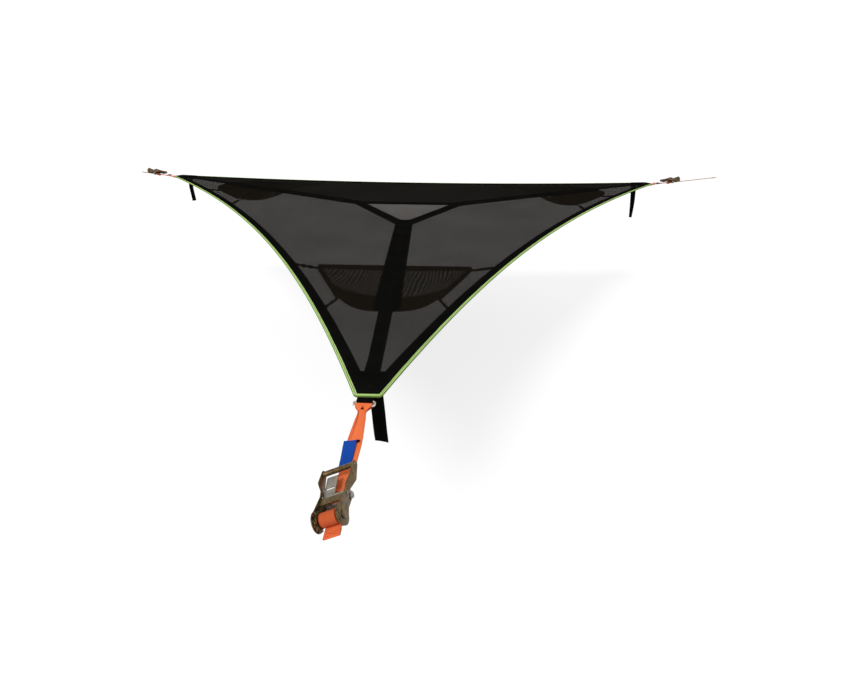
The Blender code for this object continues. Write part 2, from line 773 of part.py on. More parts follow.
def least_turn_gap():
    """The least gap between neighbouring turns, measured between their points and chords."""
    path = [Vector(p) for p in winding_path()]
    least = math.inf
    for i, point in enumerate(path):
        for j in range(i + POINTS_PER_TURN // 2, len(path) - 1):
            way = path[j + 1] - path[j]
            t = min(1.0, max(0.0, (point - path[j]).dot(way) / way.length_squared))
            least = min(least, (point - path[j] - way * t).length)
    return least - STRAP_THICKNESS


def winding():
    return ribbon(winding_path(), lambda u: STRAP_WIDTH / 2.0, STRAP_THICKNESS)


def wheel_outline():
    """Saw teeth, with a valley facing the lock pawl at the wheel's -u side."""
    tooth = [(WHEEL_ROOT, -0.22), (WHEEL_ROOT, 0.22), (WHEEL_TIP, 0.27), (WHEEL_TIP, 0.40)]
    points = []
    for k in range(WHEEL_TEETH):
        for radius, share in tooth:
            angle = math.pi + WHEEL_PITCH * (k + share)
            points.append((radius * math.cos(angle), radius * math.sin(angle)))
    return points


def spool():
    """The axle with its mandrel, two toothed wheels and end washers, riveted into one piece."""
    mandrel = cylinder(MANDREL_RADIUS, -FRAME_INNER + SEAM, FRAME_INNER - SEAM)
    axle = cylinder(JOURNAL_RADIUS, -WASHER_OUTER, WASHER_OUTER)
    pieces = [mandrel]
    for low, high in ((WHEEL_INNER, WHEEL_OUTER), (-WHEEL_OUTER, -WHEEL_INNER)):
        pieces.append(prism(wheel_outline(), low, high, "v"))
    for low, high in ((WASHER_INNER, WASHER_OUTER - SEAM), (-WASHER_OUTER + SEAM, -WASHER_INNER)):
        pieces.append(cylinder(WASHER_RADIUS, low, high, 16))
    return united("spool", axle, *pieces)


def frame():
    """Two link plates and the base between them. The lock pawl slides in its two slots."""
    slot_end = LOCK_PAWL_TIP + LOCK_PAWL_LENGTH + PAWL_TRAVEL + SEAM
    outline = link_outline(BOLT_FROM_AXLE, FRAME_AXLE_RADIUS, FRAME_BOLT_RADIUS)
    holes = [
        circle(0.0, 0.0, JOURNAL_RADIUS + SEAM, 24),
        circle(-BOLT_FROM_AXLE, 0.0, BOLT_RADIUS + SEAM, 16),
        rectangle(-slot_end, -LOCK_PAWL_TIP + SEAM, -PAWL_SLOT_HALF, PAWL_SLOT_HALF),
    ]
    plates = [
        prism(outline, FRAME_INNER, FRAME_OUTER, "v", holes),
        prism(outline, -FRAME_OUTER, -FRAME_INNER, "v", holes),
    ]
    low = -PAWL_SLOT_HALF - BASE_BELOW_PAWL - BASE_THICKNESS
    start = -LOCK_PAWL_TIP - BASE_FROM_PAWL_TIP
    base = prism(
        rectangle(start - BASE_LENGTH, start, low, low + BASE_THICKNESS),
        -FRAME_INNER - FRAME_PLATE / 2.0,
        FRAME_INNER + FRAME_PLATE / 2.0,
        "v",
    )
    return united("frame", plates[0], base, plates[1])


def bolt():
    """The bolt that the short strap goes round, with its head and its nut."""
    shank = cylinder(BOLT_RADIUS, -FRAME_OUTER - SIDE_PLAY, FRAME_OUTER + SIDE_PLAY, 16)
    pieces = []
    start = FRAME_OUTER + SEAM
    for low, high in ((start, start + BOLT_HEAD_THICKNESS), (-start - BOLT_HEAD_THICKNESS, -start)):
        pieces.append(cylinder(BOLT_HEAD_RADIUS, low, high, 6))
    return united("bolt", shank, *pieces)


def handle_outline():
    """A side plate: a round ear at the axle, a waist, and a deeper wing towards the grip."""
    half_turn = math.pi / 2.0 + math.acos(HANDLE_WAIST_RADIUS / HANDLE_AXLE_RADIUS) / 2.0
    ear = arc(0.0, 0.0, HANDLE_AXLE_RADIUS, -half_turn, half_turn, 15)
    first, last = math.pi - HANDLE_END_SWEEP, math.pi + HANDLE_END_SWEEP
    end = arc(-HANDLE_REACH, 0.0, HANDLE_END_RADIUS, first, last, 7)
    above = [(-HANDLE_WAIST_AT, HANDLE_WAIST_RADIUS), (-HANDLE_WING_AT, HANDLE_WING_RADIUS)]
    below = [(u, -w) for u, w in reversed(above)]
    return ear + above + end + below


def flared(mesh, side):
    """Bends a side plate outwards between two folds, so that the handle is wider at its grip."""
    bm = bmesh.new()
    bm.from_mesh(mesh)
    for fold in (HANDLE_FLARE_START, HANDLE_FLARE_END):
        everything = bm.verts[:] + bm.edges[:] + bm.faces[:]
        line = {"plane_co": (-fold, 0.0, 0.0), "plane_no": (1.0, 0.0, 0.0)}
        bmesh.ops.bisect_plane(bm, geom=everything, **line)
    for point in bm.verts:
        run = (-point.co.x - HANDLE_FLARE_START) / (HANDLE_FLARE_END - HANDLE_FLARE_START)
        point.co.y += side * HANDLE_FLARE * min(1.0, max(0.0, run))
    return mesh_from(bm)


def handle():
    """Two side plates, the grip that joins their ends and the web over the drive pawl."""
    slot_end = TAB_START + TAB_LENGTH + PAWL_TRAVEL + SEAM
    slot = rectangle(-slot_end, -TAB_START + SEAM, -PAWL_SLOT_HALF, PAWL_SLOT_HALF)
    outline = handle_outline()
    holes = [circle(0.0, 0.0, JOURNAL_RADIUS + SEAM, 24), slot]
    plates = [
        flared(prism(outline, HANDLE_INNER, HANDLE_OUTER, "v", holes), 1.0),
        flared(prism(outline, -HANDLE_OUTER, -HANDLE_INNER, "v", holes), -1.0),
    ]
    grip = cylinder(GRIP_RADIUS, -GRIP_LENGTH / 2.0, GRIP_LENGTH / 2.0, 12)
    moved_mesh(grip, shift(-HANDLE_REACH, 0.0, 0.0))
    web_end = WEB_START + HANDLE_WEB_LENGTH
    web = prism(
        rectangle(-web_end, -WEB_START, WEB_LEVEL, WEB_LEVEL + HANDLE_WEB_THICKNESS),
        -HANDLE_INNER - HANDLE_PLATE / 2.0,
        HANDLE_INNER + HANDLE_PLATE / 2.0,
        "v",
    )
    return united("handle", grip, plates[0], plates[1], web)


def drive_pawl():
    """The sliding plate in the handle: fingers to both wheels, guide tabs and a slotted tongue."""
    half = HANDLE_INNER - SIDE_PLAY
    right = [
        (-DRIVE_PAWL_TIP, WHEEL_INNER),
        (-DRIVE_PAWL_TIP, half),
        (-TAB_START, half),
        (-TAB_START, HANDLE_OUTER + TAB_PROUD),
        (-TAB_START - TAB_LENGTH, HANDLE_OUTER + TAB_PROUD),
        (-TAB_START - TAB_LENGTH, half),
        (-CROSSPIECE_END, half),
    ]
    left = [(a, -v) for a, v in reversed(right)]
    tongue = [
        (-CROSSPIECE_END, TONGUE_WIDTH / 2.0 - TONGUE_ASIDE),
        (-TONGUE_END, TONGUE_WIDTH / 2.0 - TONGUE_ASIDE),
        (-TONGUE_END, -TONGUE_WIDTH / 2.0 - TONGUE_ASIDE),
        (-CROSSPIECE_END, -TONGUE_WIDTH / 2.0 - TONGUE_ASIDE),
    ]
    start = [(-CROSSPIECE_START, -WHEEL_INNER), (-CROSSPIECE_START, WHEEL_INNER)]
    slot_end = TONGUE_END - FINGER_SLOT_FROM_END
    half_slot = FINGER_SLOT_WIDTH / 2.0
    slot = rectangle(
        -slot_end, -slot_end + FINGER_SLOT_LENGTH, -half_slot - TONGUE_ASIDE, half_slot - TONGUE_ASIDE
    )
    return prism(right + tongue + left + start, -PAWL_THICKNESS / 2.0, PAWL_THICKNESS / 2.0, holes=[slot])


def lock_pawl():
    """The sliding plate across the frame, with a lip to pull it out of the wheels."""
    half = WHEEL_OUTER + SEAM / 2.0
    low = -PAWL_THICKNESS / 2.0
    high = PAWL_THICKNESS / 2.0
    back = LOCK_PAWL_TIP + LOCK_PAWL_LENGTH
    profile = [
        (-LOCK_PAWL_TIP, low),
        (-LOCK_PAWL_TIP, high),
        (-back, high),
        (-back, low),
    ]
    plate = prism(profile, -half, half, "v")
    lip_profile = rectangle(-back, -back + FRAME_PLATE, low + SEAM, LOCK_PAWL_LIP)
    lip = prism(lip_profile, -FRAME_INNER + SIDE_PLAY, FRAME_INNER - SIDE_PLAY, "v")
    return united("lock_pawl", plate, lip)


def tail(corner):
    """A free webbing end with a slight S bend. It swings about the origin, just under its top edge."""
    loops = []
    half = TAIL_WIDTH / 2.0
    thick = TAIL_THICKNESS / 2.0
    section = [(-half, -thick), (0.0, -thick), (half, -thick), (half, thick), (0.0, thick), (-half, thick)]
    for t in np.linspace(0.0, 1.0, 15):
        aside = corner.tail_aside * t + corner.tail_bow * math.sin(math.pi * t)
        sway = TAIL_SWAY * math.sin(2.0 * math.pi * t)
        z = TAIL_THICKNESS / 2.0 - corner.tail_length * t
        twisted = turn(corner.tail_twist * t, "Z")
        loops.append([twisted @ Vector((x, y, 0.0)) + Vector((aside, sway, z)) for x, y in section])
    return tube(loops, smooth=True)


def tail_place(corner):
    """Just under the ring loop's lower layer, with room for the tail's top corners to turn."""
    corner_reach = TAIL_THICKNESS * math.sqrt(0.5)
    level = loop_bottom(-corner.tail_inward) - STRAP_THICKNESS / 2.0 - SEAM - corner_reach
    spot = shift(-corner.tail_inward, corner.tail_across, level)
    return strap_place(corner) @ spot @ turn(corner.tail_turn, "Z")


def finishes():
    return {
        "net": material("net_fabric", (0.052, 0.047, 0.042), 0.85),
        "light_net": material("hatch_net", (0.085, 0.075, 0.062), 0.85),
        "webbing": material("black_webbing", (0.008, 0.008, 0.008), 0.8),
        "trim": material("green_trim", (0.30, 0.47, 0.12), 0.7),
        "strap": material("orange_strap", (0.85, 0.20, 0.06), 0.7),
        "label": material("blue_label", (0.02, 0.09, 0.36), 0.6),
        "ratchet": material("yellow_zinc_steel", (0.28, 0.20, 0.09), 0.4, 1.0),
        "zinc": material("zinc_steel", (0.45, 0.43, 0.40), 0.4, 1.0),
        "ring": material("steel_ring", (0.62, 0.60, 0.57), 0.3, 1.0),
    }


def build_bed(finish):
    shapes = {
        "panel": (panel(), "net"),
        "edge_webbing": (edge_webbing(), "webbing"),
        "edge_trim": (edge_trim(), "trim"),
    }
    for side, azimuth in EDGES.items():
        for name, (mesh, look) in shapes.items():
            place(f"{side}_{name}", mesh, edge_place(azimuth), finish[look])
    place("hatch_frame", hatch_frame(), BED, finish["webbing"])
    place("hatch_net", hatch_net(), BED, finish["light_net"])


def build_corner_cloth(finish):
    shapes = {"corner_patch": corner_patch(), "radial_strap": radial_strap(), "pocket": pocket()}
    loop = ring_loop()
    for name, corner in CORNERS.items():
        for part, mesh in shapes.items():
            look = "net" if part == "pocket" else "webbing"
            place(f"{name}_{part}", mesh, corner_place(corner), finish[look])
        place(f"{name}_ring_loop", loop, strap_place(corner), finish["webbing"])
        place(f"{name}_hanging_tail", tail(corner), tail_place(corner), finish["webbing"])


def build_straps(finish):
    ring_mesh = ring()
    for name, corner in CORNERS.items():
        line = strap_place(corner)
        place(f"{name}_ring", ring_mesh, line, finish["ring"])
        place(f"{name}_short_strap", short_strap(corner), line, finish["strap"])
        place(f"{name}_label", label(corner), line, finish["label"])
        place(f"{name}_tree_strap", tree_strap(corner), axle_place(corner), finish["strap"])


def build_ratchets(finish):
    """Each ratchet's pieces share their meshes; the frame's and the handle's lean is a rotation."""
    frame_turn = -math.degrees(FRAME_TILT)
    handle_turn = math.degrees(HANDLE_TILT)
    bolt_mesh = moved_mesh(bolt(), shift(-BOLT_FROM_AXLE, 0.0, 0.0))
    shapes = {
        "frame": (frame(), "ratchet", frame_turn),
        "frame_bolt": (bolt_mesh, "ratchet", frame_turn),
        "lock_pawl": (lock_pawl(), "zinc", frame_turn),
        "spool": (spool(), "ratchet", frame_turn),
        "strap_winding": (winding(), "strap", 0.0),
        "handle": (handle(), "ratchet", handle_turn),
        "drive_pawl": (drive_pawl(), "zinc", handle_turn),
    }
    for name, corner in CORNERS.items():
        for part, (mesh, look, lean) in shapes.items():
            matrix = axle_place(corner) @ turn(lean, "Y")
            place(f"{name}_{part}", mesh, matrix, finish[look])


def main():
    for thing in list(bpy.data.objects):
        bpy.data.objects.remove(thing)
    finish = finishes()
    build_bed(finish)
    build_corner_cloth(finish)
    build_straps(finish)
    build_ratchets(finish)
    print(f"least gap between the winding's turns: {least_turn_gap() * 1000.0:.2f} mm")


main()
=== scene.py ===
"""The looks of a triangle hammock and its three ratchet straps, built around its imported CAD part."""

import math
from dataclasses import dataclass

import bmesh
import bpy
import numpy as np
from mathutils import Matrix, Vector, noise


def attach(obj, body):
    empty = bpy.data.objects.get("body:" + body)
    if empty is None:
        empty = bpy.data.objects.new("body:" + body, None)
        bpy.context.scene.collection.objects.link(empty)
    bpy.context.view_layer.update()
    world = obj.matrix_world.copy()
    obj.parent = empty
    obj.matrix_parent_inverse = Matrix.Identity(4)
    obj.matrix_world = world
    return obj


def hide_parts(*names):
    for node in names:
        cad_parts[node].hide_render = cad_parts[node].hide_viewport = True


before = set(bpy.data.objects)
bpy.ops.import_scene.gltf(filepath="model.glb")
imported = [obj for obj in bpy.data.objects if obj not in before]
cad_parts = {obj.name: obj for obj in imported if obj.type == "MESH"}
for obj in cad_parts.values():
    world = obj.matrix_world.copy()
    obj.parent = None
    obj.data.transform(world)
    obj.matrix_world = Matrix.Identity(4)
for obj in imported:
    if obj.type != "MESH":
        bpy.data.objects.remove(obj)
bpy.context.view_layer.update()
ROOT = "bed_and_straps"

# The photograph's camera, from the near corner's middle
CAMERA_OFFSET = Vector((0.17453, -1.28016, 0.80427))
CAMERA_YAW = math.radians(-0.129)
CAMERA_PITCH = math.radians(27.120)
CAMERA_ROLL = math.radians(0.903)
FOCAL_PIXELS = 540.0
PHOTO_WIDTH = 860.0
SENSOR = 36.0

# The bed, as in the part
BED_SIDE = 4.0
CORNER_FLAT = 0.078
EDGE_BOW = 0.186
TRIM_WIDTH = 0.011
TRIM_DROP = 0.006
EDGE_WEB_WIDTH = 0.038
WEB_THICKNESS = 0.002
PANEL_THICKNESS = 0.0016
HATCH_INNER = 0.162
HATCH_OUTER = 0.237
RADIAL_WIDE = 0.104
RADIAL_NARROW = 0.054
RADIAL_AT_CORNER = 0.046
RADIAL_STEP = 0.607
PATCH_LENGTH = 0.135
GUSSET_LENGTHS = {"near": 0.055, "left": 0.012, "right": 0.012}
SEAM = 0.0003

# The pockets, as in the part
MOUTH_FROM_CORNER = 1.13
MOUTH_HALF = 0.36
FOOT_FROM_CORNER = 0.742
FOOT_HALF = 0.20
FOOT_BULGE = 0.136
MOUTH_DROOP = 0.008
POCKET_SAG = 0.075
POCKET_DEEPEST = 0.3
CORD_END_FROM_CORNER = 1.187
TIE_END_FROM_CORNER = 0.655
MOUTH_HEM = 0.030
POCKET_BINDING = 0.026
BAND_TOP = 0.34
MOUTH_CORD_DROP = 0.0048
MOUTH_CORD_END_DROP = 0.0103

# The rings, loops and straps, as in the part
STRAP_WIDTH = 0.040
STRAP_THICKNESS = 0.0016
TURN_GAP = 0.0005
RING_WIRE = 0.003
RING_FROM_CORNER = 0.010
RING_LENGTH = 0.020
LOOP_WIDTH = 0.046
LOOP_REACH = 0.21
LOOP_RISE_START = 0.004
LOOP_RISE_END = 0.045
LOOP_CLOSED_AT = 0.035
COLLAR_WIDTH = 0.0475
PINCHED_WIDTH = 0.024
PINCH_FROM_RING = 0.033
FULL_FROM_RING = 0.200
RING_SPREAD_LENGTH = 0.035
BOLT_SPREAD_LENGTH = 0.045
TWIST_FROM_ENDS = 0.030
# Painted shade along the straps' edges, and how far the painted shadow under the hitch's arch reaches
EDGE_PAINTED_SHADE = 0.30
ARCH_SHADE = 0.008
LABEL_WIDTH = 0.034
LABEL_LENGTH = 0.088
LABEL_THICKNESS = 0.0008
LABEL_ASIDE = 0.0075
LABEL_FROM_GRIP = 0.036
LABEL_SEWN_SHARE = 0.25
STACK_GAP = 0.0004
HEM_LENGTH = 0.018
TREE_STRAP_UNDER = 0.004
TAIL_WIDTH = 0.040
TAIL_THICKNESS = 0.0018
TAIL_SWAY = 0.003

# The ratchets, as in the part
MANDREL_RADIUS = 0.0075
WINDING_TURNS = 3.5
BOLT_FROM_AXLE = 0.0735
BOLT_RADIUS = 0.005
STRAP_DROP = 0.003
HANDLE_REACH = 0.139
GRIP_RADIUS = 0.0065
PAWL_THICKNESS = 0.0025
TONGUE_ASIDE = 0.0135
FINGER_SLOT_LENGTH = 0.005
FINGER_SLOT_WIDTH = 0.020
FINGER_SLOT_FROM_END = 0.033
DISH_BORDER = -0.0001
DISH_BELOW = 0.0008
DISH_DEPTH = 0.0012

# The sewing: each kind of stitch by its pitch, length and width
WEB_STITCH = (0.0075, 0.0045, 0.001)
PATCH_STITCH = (0.005, 0.0032, 0.0009)
TRIM_STITCH = (0.007, 0.0042, 0.0009)
POCKET_STITCH = (0.0075, 0.0038, 0.0009)
HEM_STITCH = (0.0042, 0.003, 0.0009)
STITCH_HEIGHT = 0.0005
SEWN_FROM_EDGE = 0.004

# The looks' own small sizes
CLOTH_BEVEL = 0.0006
METAL_BEVEL = 0.0005
THIN_METAL_BEVEL = 0.0004
PANEL_UNEVENNESS = 0.0007
POCKET_SEWN_ROW = 0.97
HALF_TURN_POINTS = 13
RIPPLE_PITCH = 0.016

CORNER_HALF_ANGLE = math.radians(30.0)
CIRCUMRADIUS = BED_SIDE / math.sqrt(3.0)
INRADIUS = CIRCUMRADIUS / 2.0
EDGE_HALF = BED_SIDE / 2.0 - CORNER_FLAT / 4.0
EDGE_END = INRADIUS + CORNER_FLAT * math.sqrt(3.0) / 4.0
END_SLOPE = math.atan(2.0 * EDGE_BOW / EDGE_HALF)
HATCH_MIDDLE = (HATCH_INNER + HATCH_OUTER) / 2.0
PANEL_INSET = TRIM_WIDTH + SEAM
WEB_LOW = PANEL_THICKNESS / 2.0 + SEAM
WEB_HIGH = WEB_LOW + WEB_THICKNESS
PATCH_HIGH = WEB_HIGH + SEAM + WEB_THICKNESS
UNDERSIDE = -PANEL_THICKNESS / 2.0 - SEAM
LOOP_TURN_RADIUS = RING_WIRE + SEAM + STRAP_THICKNESS / 2.0
STRAP_LINE = -TRIM_DROP - SEAM - STRAP_THICKNESS / 2.0 - LOOP_TURN_RADIUS
RING_OUTER_BAR = RING_FROM_CORNER + RING_LENGTH
PINCH = RING_OUTER_BAR + PINCH_FROM_RING
TURN_PITCH = STRAP_THICKNESS + TURN_GAP
WINDING_START = MANDREL_RADIUS + SEAM + STRAP_THICKNESS / 2.0
WINDING_END = WINDING_START + WINDING_TURNS * TURN_PITCH
TREE_STRAP_LEVEL = -WINDING_END - STRAP_THICKNESS - SEAM
AXLE_LIFT = -TREE_STRAP_LEVEL - STRAP_DROP
LABEL_RISE = (STRAP_THICKNESS + LABEL_THICKNESS) / 2.0 + STACK_GAP
BOLT_BACK = math.sqrt(BOLT_FROM_AXLE**2 - AXLE_LIFT**2)


@dataclass
class Corner:
    """One corner's direction, ratchet, strap end, label and hanging tail, as in the part."""

    azimuth: float
    axle: float
    strap_end: float
    aside: float
    lean: float
    roll: float
    label_lift: float
    tail_inward: float
    tail_across: float
    tail_turn: float
    tail_length: float
    tail_aside: float
    tail_bow: float
    tail_twist: float


CORNERS = {
    "near": Corner(
        -90.0, 0.467, 0.501, -0.0075, -1.2, 25.5, 0.005, 0.025, 0.028, 90.0, 0.160, 0.012, 0.0, 0.0
    ),
    "left": Corner(150.0, 0.357, 0.480, 0.0, 0.0, 20.0, 0.014, 0.160, 0.0, 14.0, 0.185, 0.006, 0.010, 0.0),
    "right": Corner(
        30.0, 0.341, 0.880, 0.0, 0.0, -20.0, 0.014, 0.185, 0.0, -52.0, 0.262, 0.019, 0.004, 60.0
    ),
}
EDGES = {"left": 210.0, "right": 330.0, "back": 90.0}


def turn(degrees, axis):
    return Matrix.Rotation(math.radians(degrees), 4, axis)


def shift(x, y, z):
    return Matrix.Translation(Vector((x, y, z)))


def bed_place():
    """The bed's centre, set so that the near strap's sewn end is the origin."""
    near = CORNERS["near"]
    corner = turn(near.azimuth, "Z") @ shift(CIRCUMRADIUS, near.aside, STRAP_LINE)
    end = corner @ turn(near.lean, "Z") @ Vector((near.strap_end, 0.0, 0.0))
    return shift(*(-end))


BED = bed_place()


def corner_place(name):
    return BED @ turn(CORNERS[name].azimuth, "Z") @ shift(CIRCUMRADIUS, 0.0, 0.0)


def strap_place(name):
    corner = CORNERS[name]
    return corner_place(name) @ shift(0.0, corner.aside, STRAP_LINE) @ turn(corner.lean, "Z")


def axle_place(name):
    rolled = strap_place(name) @ shift(CORNERS[name].axle, 0.0, 0.0) @ turn(CORNERS[name].roll, "X")
    return rolled @ shift(0.0, 0.0, AXLE_LIFT)


def edge_place(side):
    return BED @ turn(EDGES[side] - 90.0, "Z")


def smoothstep(low, high, value):
    t = min(1.0, max(0.0, (value - low) / (high - low)))
    return t * t * (3.0 - 2.0 * t)


def srgb(*screen):
    """A colour given as screen values from 0 to 255, turned into the shader's linear ones."""
    shares = [value / 255.0 for value in screen]
    return tuple(s / 12.92 if s <= 0.04 else ((s + 0.055) / 1.055) ** 2.4 for s in shares)


# Materials


class Nodes:
    """A short way to write one material's nodes."""

    def __init__(self, name):
        self.material = bpy.data.materials.new(name)
        self.material.use_nodes = True
        self.tree = self.material.node_tree
        self.shader = self.tree.nodes["Principled BSDF"]

    def add(self, kind, **values):
        node = self.tree.nodes.new(kind)
        for key, value in values.items():
            setattr(node, key, value)
        return node

    def link(self, source, target):
        self.tree.links.new(source, target)

    def math(self, operation, first, second=0.0, third=0.0):
        node = self.add("ShaderNodeMath", operation=operation)
        for socket, value in zip(node.inputs, (first, second, third)):
            if isinstance(value, (int, float)):
                socket.default_value = value
            else:
                self.link(value, socket)
        return node.outputs[0]

    def coordinates(self, kind):
        """The piece's own place, or its cloth's two directions in metres."""
        if kind == "cloth":
            return self.add("ShaderNodeUVMap", uv_map="cloth").outputs[0]
        return self.add("ShaderNodeTexCoord").outputs["Object"]

    def parts(self, vector):
        node = self.add("ShaderNodeSeparateXYZ")
        self.link(vector, node.inputs[0])
        return node.outputs

    def noise(self, vector, scale, detail=3.0, roughness=0.55):
        node = self.add("ShaderNodeTexNoise")
        self.link(vector, node.inputs["Vector"])
        node.inputs["Scale"].default_value = scale
        node.inputs["Detail"].default_value = detail
        node.inputs["Roughness"].default_value = roughness
        return node.outputs["Fac"]

    def ramp(self, value, stops):
        node = self.add("ShaderNodeValToRGB")
        while len(node.color_ramp.elements) < len(stops):
            node.color_ramp.elements.new(0.5)
        for element, (place, colour) in zip(node.color_ramp.elements, stops):
            element.position = place
            element.color = (*colour, 1.0)
        self.link(value, node.inputs[0])
        return node.outputs[0]

    def mix(self, share, first, second):
        node = self.add("ShaderNodeMix", data_type="RGBA")
        for socket, value in ((node.inputs[0], share), (node.inputs[6], first), (node.inputs[7], second)):
            if isinstance(value, tuple):
                socket.default_value = (*value, 1.0)
            else:
                self.link(value, socket)
        return node.outputs[2]

    def bump(self, height, distance):
        node = self.add("ShaderNodeBump")
        node.inputs["Distance"].default_value = distance
        self.link(height, node.inputs["Height"])
        return node.outputs[0]


def scaled(colour, factor):
    return tuple(min(1.0, c * factor) for c in colour)


def woven(name, colour, rib=0.0016, depth=0.0003, spread=0.3, painted_shade_colour=(0.0, 0.0, 0.0)):
    """Flat webbing: ribs across it, yarns along it, slight fading, and the darker colour of its painted
    shade.
    """
    nodes = Nodes(name)
    along, across, _ = nodes.parts(nodes.coordinates("cloth"))
    slant = nodes.math("MULTIPLY_ADD", across, 0.55, along)
    back = nodes.math("MULTIPLY_ADD", across, -0.55, along)
    first = nodes.math("SINE", nodes.math("MULTIPLY", slant, 2.0 * math.pi / rib))
    second = nodes.math("SINE", nodes.math("MULTIPLY", back, 2.0 * math.pi / rib))
    yarn = nodes.math("SINE", nodes.math("MULTIPLY", across, 2.0 * math.pi / (rib * 1.25)))
    weave = nodes.math("MULTIPLY_ADD", yarn, 0.6, nodes.math("MAXIMUM", first, second))
    place = nodes.coordinates("place")
    fade = nodes.noise(place, 9.0)
    fine = nodes.noise(place, 240.0, 2.0)
    level = nodes.math("MULTIPLY_ADD", weave, 0.10, nodes.math("MULTIPLY_ADD", fade, 0.75, 0.12))
    level = nodes.math("MULTIPLY_ADD", fine, 0.25, nodes.math("SUBTRACT", level, 0.12))
    stops = [(0.2, scaled(colour, 1.0 - spread)), (0.5, colour), (0.85, scaled(colour, 1.0 + spread))]
    # Painted shade: each point's shade value from the mesh mixes the woven colour towards the painted
    # shade colour.
    painted_shade_share = nodes.add("ShaderNodeAttribute", attribute_name="painted_shade").outputs["Fac"]
    shade = nodes.mix(painted_shade_share, nodes.ramp(level, stops), painted_shade_colour)
    nodes.link(shade, nodes.shader.inputs["Base Color"])
    nodes.shader.inputs["Roughness"].default_value = 0.9
    nodes.shader.inputs["Specular IOR Level"].default_value = 0.0
    nodes.link(nodes.bump(weave, depth), nodes.shader.inputs["Normal"])
    return nodes.material


def netting(name, colour, pitch, hole, opening, waves=0.0):
    """A net whose small holes let part of what lies behind show.

    hole is the cut that makes the holes, opening how clear they are, and waves how far the mesh is
    pulled open and shut in fine slanting ripples.
    """
    nodes = Nodes(name)
    along, across, _ = nodes.parts(nodes.coordinates("cloth"))
    first = nodes.math("COSINE", nodes.math("MULTIPLY", along, math.pi / pitch))
    second = nodes.math("COSINE", nodes.math("MULTIPLY", across, math.pi / (pitch * 0.85)))
    cell = nodes.math("ABSOLUTE", nodes.math("MULTIPLY", first, second))
    cut = nodes.add("ShaderNodeMapRange", interpolation_type="SMOOTHSTEP")
    nodes.link(cell, cut.inputs["Value"])
    cut.inputs["From Min"].default_value = hole
    cut.inputs["From Max"].default_value = hole + 0.2
    open_share = cut.outputs[0]
    place = nodes.coordinates("place")
    broad = nodes.noise(place, 2.2, 2.0)
    fine = nodes.noise(place, 60.0, 3.0)
    level = nodes.math("MULTIPLY_ADD", fine, 0.3, nodes.math("MULTIPLY", broad, 0.7))
    stops = [(0.25, scaled(colour, 0.8)), (0.5, colour), (0.75, scaled(colour, 1.2))]
    nodes.link(nodes.ramp(level, stops), nodes.shader.inputs["Base Color"])
    nodes.shader.inputs["Roughness"].default_value = 0.9
    nodes.shader.inputs["Specular IOR Level"].default_value = 0.0
    uneven = nodes.math("MULTIPLY_ADD", broad, 0.5 * opening, 0.75 * opening)
    clear = nodes.math("MULTIPLY", open_share, uneven)
    if waves:
        x, y, _ = nodes.parts(place)
        slanted = nodes.math("MULTIPLY_ADD", y, -0.33, x)
        bent = nodes.math("MULTIPLY_ADD", nodes.noise(place, 5.0, 1.0), 0.09, slanted)
        ripple = nodes.math("SINE", nodes.math("MULTIPLY", bent, 2.0 * math.pi / RIPPLE_PITCH))
        pulled = nodes.math("MAXIMUM", nodes.math("MULTIPLY_ADD", ripple, waves, 1.0), 0.0)
        clear = nodes.math("MULTIPLY", clear, pulled)
    nodes.link(nodes.math("SUBTRACT", 1.0, clear), nodes.shader.inputs["Alpha"])
    nodes.link(nodes.bump(nodes.math("SUBTRACT", 1.0, open_share), 0.0003), nodes.shader.inputs["Normal"])
    return nodes.material


def plated(name, colour, tarnish, roughness=0.38, streak=1.0):
    """Plated sheet steel: cloudy plating with dark tarnish, specks and fine scratches."""
    nodes = Nodes(name)
    place = nodes.coordinates("place")
    cloud = nodes.noise(place, 70.0, 5.0, 0.65)
    speck = nodes.noise(place, 420.0, 3.0, 0.6)
    stretched = nodes.add("ShaderNodeMapping")
    stretched.inputs["Scale"].default_value = (1.0, 14.0, 14.0)
    nodes.link(place, stretched.inputs["Vector"])
    scratch = nodes.noise(stretched.outputs[0], 90.0, 4.0, 0.7)
    stops = [(0.36, tarnish), (0.5, colour), (0.72, scaled(colour, 1.5))]
    level = nodes.math("MULTIPLY_ADD", speck, 0.3, nodes.math("MULTIPLY", cloud, 0.7))
    level = nodes.math("MULTIPLY_ADD", scratch, 0.2 * streak, nodes.math("SUBTRACT", level, 0.1 * streak))
    nodes.link(nodes.ramp(level, stops), nodes.shader.inputs["Base Color"])
    nodes.shader.inputs["Metallic"].default_value = 0.85
    rough = nodes.math("MULTIPLY_ADD", cloud, 0.3, roughness - 0.12)
    nodes.link(rough, nodes.shader.inputs["Roughness"])
    nodes.link(nodes.bump(scratch, 0.00008), nodes.shader.inputs["Normal"])
    return nodes.material


